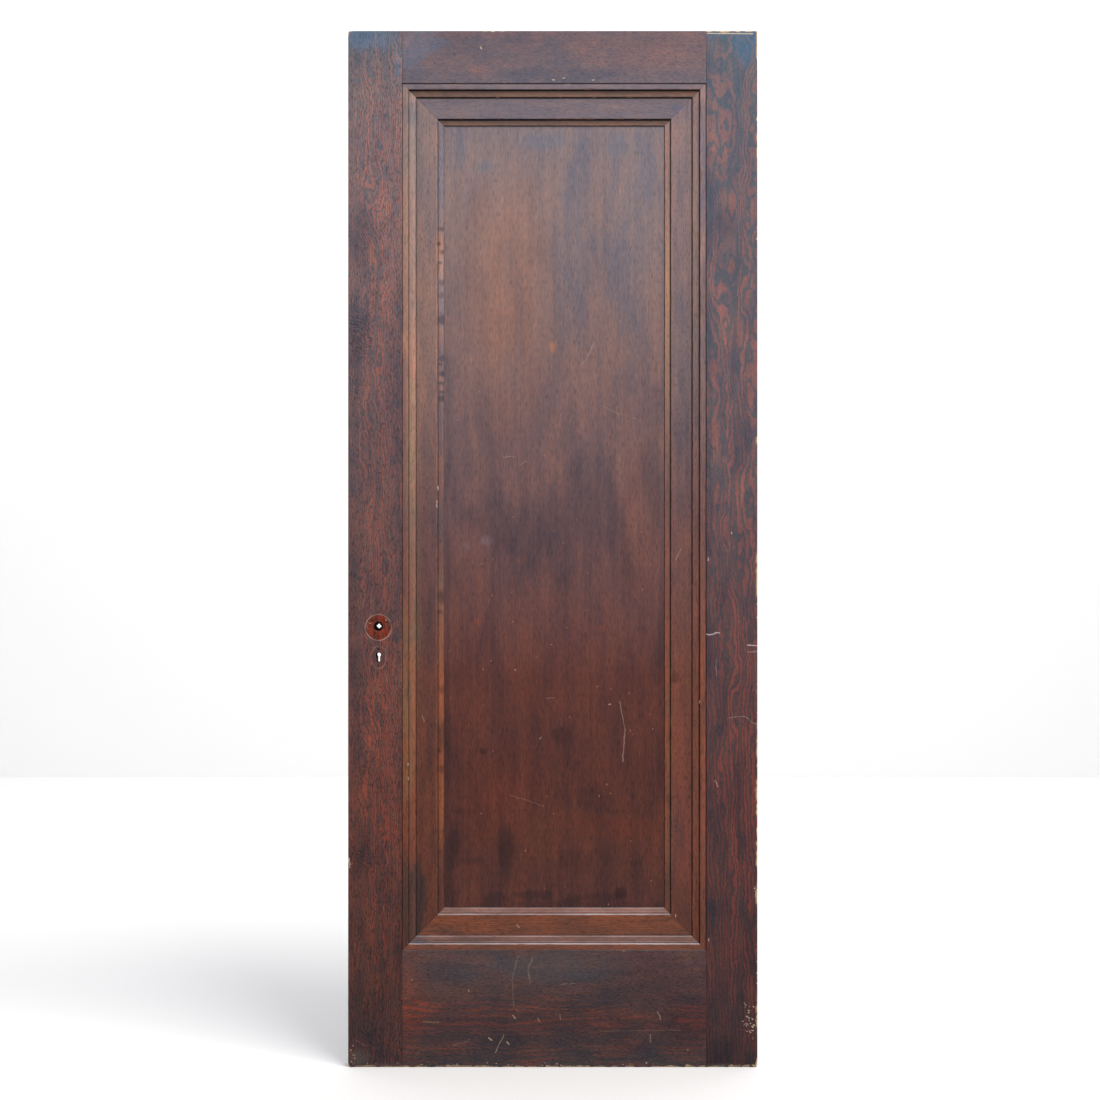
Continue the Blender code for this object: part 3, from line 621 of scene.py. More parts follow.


# stained hardwood under an old spirit varnish: the stain sits in the rings, red on brown,
# and the varnish gives a satin sheen that hides none of the figure
# mean tones by mm up the door: the old stain, with a painted reflection of the sky that makes them lighter
# and bluer towards the top
stileTones = [
    (0, "#493132"), (160, "#4C2F2B"), (560, "#633A34"), (900, "#60403E"), (1300, "#644A4C"),
    (1900, "#7E6161"), (2134, "#58575F"),
]
rightStileTones = [
    (0, "#38282B"), (160, "#4A2E2E"), (560, "#563534"), (900, "#5B3E3F"), (1300, "#665053"),
    (1900, "#5C525A"), (2134, "#52525C"),
]
topRailTones = [(2026, "#5E5459"), (2134, "#614D4F")]
bottomRailTones = [(0, "#43393A"), (90, "#453030"), (160, "#4B3938"), (240, "#513E3D")]
leftStile = {
    "frontBelow": -16,  # marks of the front stay off the edges
    "grain": "z", "shift": 4.0, "ringSpacing": 5.6,
    "middle": -366, "gain": (0.9, 1.0),  # rings lie closer low down
    # mm across, mm along, bend in mm low and high on the door
    "figure": [(46, 130, 14, 34), (17, 28, 6.5, 6.0), (6.5, 9, 2.3, 1.6), (2.6, 4, 0.75, 0.45)],
    "ringRise": (0.04, 0.3), "ringFall": 0.55, "ringLeast": 0.35, "ringAmount": 1.0,
    "breakSize": (16, 34), "breakFrom": 0.3, "breakLeast": 0.25,
    "tones": stileTones, "lineTint": (1.5, 1.06, 0.9), "gapTint": (0.58, 0.88, 0.96), "mottle": 0.16,
    "cloudSize": (40, 110), "cloudDark": (0.74, 0.84, 0.93), "cloudLight": (1.24, 1.12, 1.0),
    "bloomAndSheen": 0.12, "bloomAndSheenColour": "#6C6064",
    "fibre": (1.2, 5, 0.3), "pore": (1.8, 7, 0.38), "streak": (5, 200, 0.05),
    "ripples": {"pitch": 6.5, "slope": (0.55, 0.83), "tint": (0.5, 0.66, 0.8), "at": [
        ((-396.8, 1507.5), (32, 70), 0.8), ((-405, 1373.7), (20, 60), 0.5),
        ((-388.6, 430.9), (34, 26), 0.8), ((-330.9, 1394.3), (16, 80), 0.4),
        ((-372.1, 725.2), (40, 24), 0.5), ((-347.4, 344.4), (24, 60), 0.5),
    ]},
    "patches": [
        {"tint": (0.62, 0.72, 0.8), "at": [
            ((-372.1, 1707.2), (50, 60), 0.6), ((-400.9, 1507.5), (22, 50), 0.45),
            ((-318.6, 1373.7), (14, 300), 0.4),
            ((-405, 426.7), (26, 60), 0.5), ((-368, 76.8), (70, 120), 0.35),
            ((-316.5, 262.1), (10, 160), 0.4),
            ((-413.3, 962), (12, 160), 0.3), ((-396.8, 282.6), (30, 50), 0.35),
        ]},
        # painted sheen: a bluish reflection of the sky at the top of the stile
        {"tint": (0.7, 0.95, 1.15), "hazeAndSheen": (0.02, 0.032, 0.05), "at": [
            ((-380.3, 2123), (70, 36), 0.9), ((-318.6, 2073.6), (10, 60), 0.6),
        ]},
        {"tint": (0.7, 0.8, 0.8), "hazeAndSheen": (0.03, 0.028, 0.022), "at": [
            ((-400.9, 19.1), (26, 20), 0.9), ((-345.3, 2.7), (60, 6), 0.6),
        ]},
        # painted shade: two near-black dots for the empty screw holes of the lost escutcheon
        {
            "tint": (0.2, 0.2, 0.2),
            "at": [((-359.1, 862.3), (1.6, 1.6), 0.9), ((-358.1, 821.6), (1.6, 1.6), 0.9)],
        },
        {"tint": (0.45, 0.42, 0.5), "at": [
            ((-359.3, 887.5), (3.4, 3), 0.9), ((-342.2, 892), (4, 12), 0.75),
            ((-366.9, 887.9), (3, 14), 0.6), ((-374.2, 919.8), (5, 4), 0.6),
            ((-384, 898.2), (2, 10), 0.5), ((-347.4, 916.7), (2.4, 8), 0.6),
        ]},
        {"tint": (1.4, 1.22, 1.05), "at": [
            ((-363.9, 776.7), (22, 36), 0.8), ((-372.1, 669.7), (22, 36), 0.7),
            ((-355.6, 1209), (40, 150), 0.35), ((-345.3, 1579.6), (26, 70), 0.4),
            ((-392.7, 550.3), (20, 50), 0.5), ((-376.2, 1122.6), (44, 80), 0.75),
        ]},
    ],
    "prints": [((-358.9, 905.6), (26.2, 26.2), 1.0, 0.6), ((-358.5, 844), (15.2, 22.6), 0.2, 0.28)],
    "printTint": (1.3, 0.56, 0.34), "rimColour": "#B5A096",
    "fleckColour": "#9A5533", "chipColour": "#D6C09C", "fleckGrid": (1 / 34, 1 / 34, 1 / 46),
    "chipSize": 4.2,
    "chipped": [
        ((-413.3, 27.4), (14, 26), 0.5), ((-345.3, 6.8), (80, 6), 0.3), ((-417.4, 418.5), (6, 10), 0.8),
    ],
    "scratches": [
        ((-365.9, 2133.3), (-365.3, 2094.2), 0.9, 0.4), ((-377.9, 916.3), (-375, 914.6), 2.4, 0.9),
        ((-344.1, 920.8), (-341.6, 919.6), 2.2, 0.9),
        ((-382.8, 910.5), (-380.3, 902.3), 2.2, 0.35), ((-417.4, 422.6), (-419.4, 410.3), 1.8, 0.8),
        ((-407.1, 56.2), (-384.4, 43.8), 1.2, 0.3),
        ((-349.4, 334.1), (-345.3, 309.4), 0.9, 0.3),
    ],
    "scratchColour": "#A98468", "fleckShare": 0.05,
    "bareDark": "#7A6048", "bareLight": "#B99F7C",
    "roughness": (0.36, 0.5), "shine": 0.12, "bump": 0.35,
}
rightStile = {
    **leftStile, "tones": rightStileTones, "shift": 19.0, "ringSpacing": 8.6, "middle": 369,
    "gain": (1.3, 0.4),
    "figure": [(44, 140, 14, 44), (15, 30, 6.5, 8), (6.5, 12, 2.4, 1.8), (2.6, 5, 0.8, 0.25)],
    "fibre": (1.2, 5, 0.2), "pore": (1.8, 7, 0.22), "ringRise": (0.12, 0.3), "ringLeast": 0.45,
    "lineTint": (1.6, 1.06, 0.92), "gapTint": (0.58, 0.9, 0.98),
    "ripples": {
        **leftStile["ripples"],
        "at": [((319.6, 1250.2), (8, 200), 0.4), ((348.4, 982.6), (20, 60), 0.35)],
    },
    "breakSize": (26, 90), "breakFrom": 0.34,
    "patches": [
        {"tint": (0.62, 0.72, 0.8), "at": [
            ((320.6, 1332.5), (9, 600), 0.5), ((389.6, 1332.5), (26, 120), 0.4),
            ((334, 35.6), (60, 40), 0.5), ((356.7, 1740.1), (16, 34), 0.5),
            ((395.8, 220.9), (30, 120), 0.35), ((381.4, 1661.9), (22, 60), 0.45),
        ]},
        # painted sheen: a bluish reflection of the sky at the top of the stile
        {"tint": (0.65, 0.95, 1.15), "hazeAndSheen": (0.014, 0.026, 0.04), "at": [
            ((393.7, 2102.4), (34, 50), 0.85), ((336.1, 2127.2), (40, 14), 0.5),
        ]},
        {"tint": (0.8, 0.8, 0.8), "hazeAndSheen": (0.03, 0.028, 0.022), "at": [((364.9, 2.7), (60, 6), 0.7)]},
        {"tint": (1.3, 1.12, 1.0), "at": [
            ((375.2, 1775.1), (40, 60), 0.7), ((340.2, 1270.8), (22, 180), 0.4),
            ((331.9, 1888.4), (22, 90), 0.4), ((385.5, 756.1), (26, 160), 0.3),
            ((360.8, 1517.8), (16, 80), 0.4),
        ]},
    ],
    "prints": [], "scratchColour": "#C2B4AE",
    "scratches": [
        ((303.1, 894), (321.7, 889.9), 1.9, 1.0), ((321.7, 889.9), (342.2, 894), 2.2, 1.0),
        ((399.9, 869.3), (422.5, 867.3), 1.8, 0.9),
        ((399.9, 854.9), (422.5, 857), 1.2, 0.55), ((360.8, 719.1), (393.7, 723.2), 1.1, 0.4),
        ((393.7, 723.2), (422.5, 702.6), 1.1, 0.4),
        ((334, 591.4), (339.2, 577), 1.3, 0.6), ((336.1, 838.5), (337.1, 805.5), 1.0, 0.4),
        ((319.6, 1048.4), (320.2, 1044.3), 2.0, 0.8),
        ((369, 1100.9), (369, 1098.9), 2.0, 0.8), ((321.7, 264.1), (321.7, 260), 2.0, 0.8),
        ((393.7, 134.4), (397.8, 126.2), 1.4, 0.5),
    ],
    "chipped": [
        ((410.2, 99.4), (20, 34), 1.3), ((418.4, 360.9), (5, 22), 0.8), ((419.4, 1044.3), (3, 50), 0.5),
        ((375.2, 4.7), (50, 4), 0.3),
        ((420.5, 756.1), (2.6, 260), 0.45), ((420.5, 1682.5), (2.6, 200), 0.4),
        ((420.5, 220.9), (3, 150), 0.5),
    ],
    "pale": [((317.5, 2128.4), (412.2, 2127.6), 1.5, 0.7), ((419, 2129.2), (419.6, 2077.7), 1.2, 0.6)],
    "fleckShare": 0.06,
}
leftStile["material"] = woodMaterial("varnished flame-figured hardwood, lock stile", leftStile)
rightStile["material"] = woodMaterial("varnished flame-figured hardwood, hinge stile", rightStile)

railBase = {
    **leftStile, "grain": "x", "prints": [], "ringSpacing": 10.0, "middle": 120, "gain": (0.8, 0.8),
    "figure": [(60, 330, 30, 30), (18, 60, 6, 6), (6, 16, 1.8, 1.8), (2.4, 6, 0.5, 0.5)], "mottle": 0.2,
    "breakSize": (26, 90), "breakFrom": 0.4, "breakLeast": 0.15, "lineTint": (1.9, 1.06, 0.84),
    "gapTint": (0.9, 0.96, 1.0),
    "ringRise": (0.28, 0.48), "ringFall": 0.62, "fibre": (1.2, 7, 0.28), "pore": (1.8, 8, 0.36),
    "streak": (5, 160, 0.05), "scratchColour": "#C9B08C",
}
for stileOnly in ("ripples", "chipped"):
    del railBase[stileOnly]
topRail = {
    **railBase, "shift": 33.0, "ringAmount": 0.15, "bloomAndSheen": 0.25, "mottle": 0.22, "breakSize": (12, 24),
    "tones": topRailTones, "cloudSize": (34, 56), "cloudDark": (0.72, 0.88, 1.0),
    "cloudLight": (1.3, 1.08, 0.98),
    "patches": [
        # painted sheen: a bluish reflection of the sky at the top left corner
        {
            "tint": (0.95, 1.1, 1.2), "hazeAndSheen": (0.014, 0.018, 0.026),
            "at": [((-293.9, 2106.6), (70, 44), 0.9)],
        },
        {
            "tint": (0.68, 0.8, 0.9),
            "at": [
                ((-201.2, 2102.4), (60, 30), 0.4), ((14.9, 2044.8), (130, 20), 0.45),
                ((-67.4, 2114.8), (50, 16), 0.4),
            ],
        },
        {
            "tint": (1.4, 1.04, 0.92),
            "at": [
                ((210.5, 2081.9), (110, 40), 0.45), ((-153.9, 2053), (40, 18), 0.4),
                ((72.6, 2098.3), (50, 24), 0.35),
            ],
        },
    ],
    "scratches": [
        ((-147.7, 2099.4), (-146.7, 2097.3), 2.2, 0.9), ((-1.5, 2032.5), (2.6, 2032.5), 1.8, 0.8),
        ((21.1, 2036.6), (25.2, 2036.6), 1.8, 0.8),
        ((80.8, 2032.5), (84.9, 2032.5), 1.8, 0.8), ((47.9, 2022.2), (58.2, 2022.2), 1.6, 0.7),
    ],
    "fleckShare": 0.02,
}
bottomRail = {
    **railBase, "shift": 52.0, "ringAmount": 0.9, "ringHeights": (120, 165),
    "chipped": [
        ((4.6, 6.8), (320, 4), 0.25), ((-108.6, 56.2), (30, 14), 0.12), ((-293.9, 138.5), (16, 60), 0.06),
    ],
    "tones": bottomRailTones, "cloudSize": (50, 120), "cloudDark": (0.74, 0.86, 0.96),
    "cloudLight": (1.26, 1.1, 0.98),
    "patches": [
        {"tint": (0.7, 0.8, 0.88), "at": [
            ((-98.3, 41.8), (60, 26), 0.6), ((97.3, 138.5), (60, 20), 0.35),
            ((220.8, 43.8), (60, 20), 0.3),
        ]},
        # painted sheen along the upper edge of the rail
        {
            "tint": (0.8, 0.92, 1.0), "hazeAndSheen": (0.012, 0.013, 0.013),
            "at": [((-26.2, 204.4), (170, 34), 0.8), ((-170.3, 190), (50, 30), 0.4)],
        },
        {
            "tint": (0.96, 0.8, 0.82),
            "at": [((231.1, 196.2), (110, 70), 0.9), ((286.7, 118), (60, 170), 0.9)],
        },
        {
            "tint": (1.35, 0.98, 0.86),
            "at": [
                ((-293.9, 138.5), (40, 150), 0.8), ((-221.8, 39.7), (40, 24), 0.6),
                ((148.7, 43.8), (44, 20), 0.6),
            ],
        },
        {"tint": (1.5, 1.16, 0.92), "at": [
            ((-298, 138.5), (20, 80), 0.7), ((299, 200.3), (12, 10), 0.4),
            ((-232.1, 128.3), (70, 34), 0.5), ((-240.3, 225), (60, 10), 0.4),
            ((179.6, 107.7), (120, 14), 0.35),
        ]},
    ],
    "scratches": [
        ((-71.5, 229.1), (-83.9, 179.7), 1.3, 0.2), ((-83.9, 179.7), (-79.8, 126.2), 1.2, 0.18),
        ((-79.8, 126.2), (-69.5, 109.7), 1.0, 0.18),
        ((-40.7, 225), (-51, 204.4), 2.6, 0.16), ((-51, 204.4), (-46.8, 175.6), 2.6, 0.14),
        ((-100.4, 66.5), (-118.9, 29.4), 1.5, 0.4),
        ((-131.2, 60.3), (-126.1, 56.2), 2.4, 0.8), ((-94.2, 52.1), (-90.1, 48), 2.2, 0.7),
        ((-81.8, 105.6), (-77.7, 101.5), 2.2, 0.7),
        ((97.3, 74.7), (262, 76.8), 1.2, 0.12), ((216.7, 113.8), (222.8, 97.4), 1.4, 0.4),
        ((200.2, 66.5), (201.2, 52.1), 1.3, 0.4),
        ((-265, 93.3), (-236.2, 92.2), 2.6, 0.16), ((14.9, 169.4), (45.8, 173.5), 1.0, 0.2),
        ((-207.4, 43.8), (-170.3, 56.2), 1.0, 0.25),
        ((-174.5, 159.1), (-173.2, 157.1), 1.8, 0.6), ((-30.4, 101.5), (-26.2, 93.3), 1.2, 0.5),
        ((14.9, 109.7), (15.7, 97.4), 1.1, 0.45),
    ],
    "fleckShare": 0.07,
}
topRail["material"] = woodMaterial("varnished hardwood, top rail", topRail)
bottomRail["material"] = woodMaterial("varnished hardwood, bottom rail", bottomRail)

# radius of the worn arris in mm, and where hands, the floor and the hinges wore it down:
# place (x, y, z) and reach (x, y, z) in mm, and how much deeper in mm
boards = {
    "lock_stile": {
        **leftStile, "slot": "stile_wood", "seed": 2.0, "cells": (4, 6, 7),
        "protected": ((0, 0, 0), (1, 0, 0)),
        "arris": 1.95, "unevenness": 0.8, "bareFrom": 0.35,
        "rubbed": [
            ((-421, 0, 0), (60, 40, 26), 5.0), ((-366, -22, 0), (90, 14, 9), 4.0),
            ((-366, 22, 0), (90, 14, 9), 4.0),
            ((-421, -22, 422.6), (8, 8, 12), 4.0), ((-421, 22, 1300), (8, 9, 60), 2.0),
            ((-421, -22, 2134), (12, 14, 16), 3.0),
        ],
    },
    "hinge_stile": {
        **rightStile, "slot": "stile_wood", "seed": 7.0, "cells": (4, 6, 7),
        "protected": ((1, 0, 0), (0, 0, 0)),
        "arris": 1.95, "unevenness": 0.9, "bareFrom": 0.35,
        "rubbed": [
            ((372, -22, 2134), (80, 12, 12), 3.2), ((421, -22, 2080), (10, 10, 90), 1.2),
            ((421, -22, 1902), (9, 10, 60), 3.4), ((421, -22, 1286), (8, 8, 12), 3.6),
            ((421, -22, 1022), (9, 9, 60), 2.6),
            ((421, -22, 530), (9, 9, 240), 1.7), ((421, -22, 567), (9, 9, 22), 3.4),
            ((421, -22, 415), (9, 9, 12), 4.0),
            ((421, -22, 352), (10, 9, 26), 4.0), ((418, -22, 108), (16, 8, 42), 3.0),
            ((421, 0, 0), (50, 40, 22), 5.0), ((370, -22, 0), (90, 14, 9), 4.0),
            ((370, 22, 0), (90, 14, 9), 4.0),
        ],
    },
    "top_rail": {
        **topRail, "slot": "rail_wood", "seed": 11.0, "cells": (7, 6, 7),
        "protected": ((1, 0, 1), (1, 0, 0)),
        "arris": 1.95, "unevenness": 0.5, "bareFrom": 0.35,
        "rubbed": [((-120, -22, 2134), (30, 8, 6), 1.6), ((150, 22, 2134), (60, 8, 6), 1.8)],
    },
    "bottom_rail": {
        **bottomRail, "slot": "rail_wood", "seed": 17.0, "cells": (4, 6, 7),
        "protected": ((1, 0, 0), (1, 0, 1)),
        "arris": 1.95, "unevenness": 1.0, "bareFrom": 0.35,
        "rubbed": [
            ((-200, -22, 0), (160, 12, 8), 3.6), ((60, -22, 0), (160, 12, 8), 3.2),
            ((250, -22, 0), (120, 12, 8), 3.8),
            ((-60, 22, 0), (300, 12, 8), 3.2), ((-88, -22, 14), (10, 5, 8), 2.0),
        ],
    },
}
for boardName, boardLook in boards.items():
    wornBoard(boardName, boardLook)


# the moulding's section in mm: u in from the frame, h above the panel, and how much each point wears
moulding = {
    "section": [
        (0.3, 0, 0), (0.3, 13.6, 0.3), (0.7, 14.3, 0.6), (1.4, 14.5, 0.3), (2.6, 14.5, 0),
        (10.6, 14.5, 0), (11.8, 14.45, 0.5),
        (12.6, 14.1, 1), (13.1, 13.4, 1), (13.5, 12.4, 0.5), (13.8, 11.5, 0),
        *[
            (
                13.8 + 13.4 * (1 - math.cos(t * math.pi / 20)), 11.5 - 2.5 * math.sin(t * math.pi / 20),
                0,
            ) for t in range(1, 10)
        ],
        (27.0, 8.95, 0.3), (27.6, 8.7, 1), (28.1, 8.2, 1), (28.5, 7.6, 0.5), (28.8, 7.0, 0),
        (30.4, 7.0, 0),
        (69.6, 7.0, 0), (71.1, 6.95, 0.4), (71.9, 6.7, 1), (72.5, 6.1, 1), (73.0, 5.2, 0.5),
        (73.3, 4.25, 0), (75.0, 3.95, 0),
        (83.4, 2.46, 0), (84.6, 2.2, 0.5), (85.3, 1.85, 1), (85.8, 1.2, 0.7), (86.0, 0, 0),
    ],
    "mitreGap": 0.21, "stationSpacing": 7,  # mm between the cross sections of a run
    "wearDepth": 0.75, "wearSize": 28,
}
sectionMesh = bpy.data.meshes.new("moulding_section")
outline = moulding["section"][::-1]
sectionMesh.from_pydata(
    [(u * mm, h * mm, 0) for u, h, wear in outline],
    [(i, (i + 1) % len(outline)) for i in range(len(outline))], [],
)
for attributeName, values in (
    ("nose", [wear for u, h, wear in outline]), ("across", [u for u, h, wear in outline]),
):
    sectionMesh.attributes.new(attributeName, "FLOAT", "POINT").data.foreach_set("value", values)

# the section is drawn along a straight run and cut back 45 degrees at both ends,
# with its arrises rubbed down unevenly
runTree = bpy.data.node_groups.new("mitred moulding", "GeometryNodeTree")
given, result = addSockets(
    runTree,
    {"Section": "Geometry", "Length": "Float", "Mitre Gap": "Float", "Stations": "Int", "Wear Depth": "Float",
     "Wear Size": "Float", "Seed": "Float", "Material": "Material"},
    {"Moulding": "Geometry"},
)
profile = addNode(runTree, "GeometryNodeMeshToCurve", {"Mesh": given["Section"]})
path = addNode(runTree, "GeometryNodeCurvePrimitiveLine", {"End": (0, 0, 1)})
path = addNode(runTree, "GeometryNodeResampleCurve", {"Curve": path, "Count": given["Stations"]})
swept = addNode(
    runTree, "GeometryNodeCurveToMesh", {"Curve": path, "Profile Curve": profile, "Fill Caps": True},
)
at = addNode(
    runTree, "ShaderNodeSeparateXYZ", {0: addNode(runTree, "GeometryNodeInputPosition")},
).node.outputs
cutBack = addNode(runTree, "ShaderNodeMath", {0: at["X"], 1: given["Mitre Gap"]}, operation="ADD")
length = addNode(
    runTree, "ShaderNodeMath", {0: cutBack, 1: -2.0, 2: given["Length"]}, operation="MULTIPLY_ADD",
)
along = addNode(runTree, "ShaderNodeMath", {0: at["Z"], 1: length, 2: cutBack}, operation="MULTIPLY_ADD")
where = addNode(runTree, "ShaderNodeCombineXYZ", {"X": at["X"], "Y": given["Seed"], "Z": along})
where = addNode(runTree, "ShaderNodeVectorMath", {0: where, 1: given["Wear Size"]}, operation="DIVIDE")
wear = addNode(
    runTree, "ShaderNodeTexNoise", {"Vector": where, "Scale": 1.0, "Detail": 3.0, "Roughness": 0.65},
)
wear = addNode(runTree, "ShaderNodeMapRange", {0: wear, 1: 0.42, 2: 0.75})
nose = addNode(runTree, "GeometryNodeInputNamedAttribute", {"Name": "nose"}, data_type="FLOAT")
wear = addNode(runTree, "ShaderNodeMath", {0: wear, 1: nose}, operation="MULTIPLY")
drop = addNode(runTree, "ShaderNodeMath", {0: wear, 1: given["Wear Depth"]}, operation="MULTIPLY")
newX = addNode(runTree, "ShaderNodeMath", {0: at["X"], 1: drop}, operation="SUBTRACT")
newY = addNode(runTree, "ShaderNodeMath", {0: at["Y"], 1: drop}, operation="SUBTRACT")
newPlace = addNode(runTree, "ShaderNodeCombineXYZ", {"X": newX, "Y": newY, "Z": along})
marked = addNode(
    runTree, "GeometryNodeStoreNamedAttribute", {"Geometry": swept, "Name": "bare", "Value": wear},
    data_type="FLOAT", domain="POINT",
)
shaped = addNode(runTree, "GeometryNodeSetPosition", {"Geometry": marked, "Position": newPlace})
whole = addNode(runTree, "GeometryNodeRealizeInstances", {"Geometry": shaped})
whole = addNode(runTree, "GeometryNodeSetMaterial", {"Geometry": whole, "Material": given["Material"]})
runTree.links.new(whole, result["Moulding"])


def buildFromNodes(name, mesh, tree, settings):  # runs a node tree once and keeps its plain mesh
    source = newObject(name + "_source", mesh)
    modifier = source.modifiers.new("build", "NODES")
    modifier.node_group = tree
    for item in tree.interface.items_tree:
        if item.in_out == "INPUT" and item.name in settings:
            modifier[item.identifier] = settings[item.name]
    finished = evaluatedMesh(source)
    source.modifiers.clear()
    bpy.data.objects.remove(source)
    return finished


straightGrain = {
    **leftStile, "frontBelow": 0, "bloomAndSheen": 0.3, "ringSpacing": 4.2, "middle": 0, "gain": (1.0, 1.0),
    "prints": [], "scratches": [], "patches": [],
    "figure": [(50, 900, 14, 14), (14, 160, 2.4, 2.4), (4, 26, 0.5, 0.5)], "ringAmount": 0.3,
    "ringLeast": 0.2,
    "breakSize": (10, 60), "mottle": 0.14, "lineTint": (1.3, 1.12, 1.0), "gapTint": (0.9, 0.93, 0.96),
    "cloudSize": (22, 110), "cloudDark": (0.74, 0.84, 0.94), "cloudLight": (1.22, 1.1, 0.98),
    "fibre": (1.0, 18, 0.22), "pore": (1.7, 10, 0.3), "streak": (4, 300, 0.06),
    "bareDark": "#4E332A", "bareLight": "#8A6248", "fleckShare": 0.02, "roughness": (0.34, 0.46),
    "ledgeHighlightColour": "#B2AEB4",
}
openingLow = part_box("front_moulding_bottom")[0]
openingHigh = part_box("front_moulding_top")[1]
margin = moulding["section"][0][0] * mm
for stileOnly in ("ripples", "chipped"):
    del straightGrain[stileOnly]
corners = {
    "low": (openingLow.x - margin, openingLow.z - margin),
    "high": (openingHigh.x + margin, openingHigh.z + margin),
}
# mean tones by mm up the door, with a painted reflection of the sky that makes them lighter and bluer high up
leftTones = [
    (240, "#533129"), (480, "#5F362A"), (800, "#61382E"), (1117, "#5F4240"), (1446, "#8C6759"),
    (1885, "#826C67"),
]
rightTones = [
    (240, "#5C352A"), (480, "#6A3D34"), (800, "#6C3E31"), (1117, "#674642"), (1446, "#6E5B5B"),
    (1885, "#826A68"),
]
topTones = [(1935, "#6B6066"), (2030, "#66595E")]
bottomTones = [(240, "#6F4537"), (330, "#71412D")]
# (mm in from the frame, level, warmth): painted shade in each inner corner, deepest on the top and right
# runs, and lighter towards each arris, partly wear and partly a painted highlight that is brightest on the
# bottom run
leftBands = [
    (0, 0.3, 0), (1.2, 0.5, 0), (2, 1.15, 0.08), (10.5, 1.15, 0.1), (12.4, 1.2, 0.05), (13.2, 0.5, 0),
    (14.2, 0.6, 0),
    (15.8, 1.3, 0.02), (24, 1.5, 0.04), (27.4, 1.5, 0.02), (28.2, 0.4, 0), (29.2, 0.5, 0), (31, 0.95, 0),
    (45, 1.0, 0),
    (69, 1.0, 0), (72, 1.3, 0), (73, 0.45, 0), (74.2, 0.55, 0), (76.2, 1.0, 0.02), (84, 1.15, 0.02),
    (85.4, 1.0, 0), (86, 0.4, 0),
]
rightBands = [
    (0, 0.1, 0), (1.2, 0.2, 0), (2.2, 1.1, 0.05), (10.5, 1.15, 0.05), (12.6, 1.3, 0), (13.3, 0.1, 0),
    (14.6, 0.15, 0),
    (16.4, 0.95, 0.04), (26.5, 1.0, 0.04), (27.6, 1.1, 0), (28.3, 0.1, 0), (29.6, 0.15, 0),
    (31.5, 0.92, 0), (45, 1.0, 0),
    (69, 1.0, 0), (71.8, 1.2, 0), (72.6, 0.1, 0), (74.0, 0.2, 0), (76, 1.1, 0.12), (84, 1.3, 0.15),
    (85.2, 0.5, 0), (86, 0.15, 0),
]
topBands = [
    (0, 0.06, 0), (1.6, 0.12, 0), (2.8, 1.15, 0), (11, 1.2, 0), (12.3, 1.0, 0), (13, 0.03, 0),
    (14.8, 0.05, 0),
    (16.5, 0.6, 0.32), (24, 0.85, 0.32), (26.8, 0.8, 0.3), (27.8, 0.03, 0), (29.6, 0.06, 0),
    (31.5, 0.95, 0), (45, 1.05, 0),
    (69, 1.05, 0), (71.4, 1.0, 0), (72.4, 0.03, 0), (74.4, 0.05, 0), (76.5, 0.6, 0.3), (84, 0.9, 0.3),
    (85.2, 0.1, 0), (86, 0.05, 0),
]
bottomBands = [
    (0, 0.2, 0), (1.2, 0.5, 0), (2.2, 0.95, 0), (11.5, 0.95, 0), (15.4, 0.9, -0.05), (16.6, 1.0, -0.15),
    (26.5, 1.25, -0.12),
    (29.6, 0.9, 0), (30.4, 0.55, 0), (32, 0.95, 0), (69, 1.0, 0), (72, 1.1, 0), (75.2, 0.9, 0),
    (76, 1.3, -0.15),
    (84, 1.6, -0.15), (86, 0.7, 0),
]
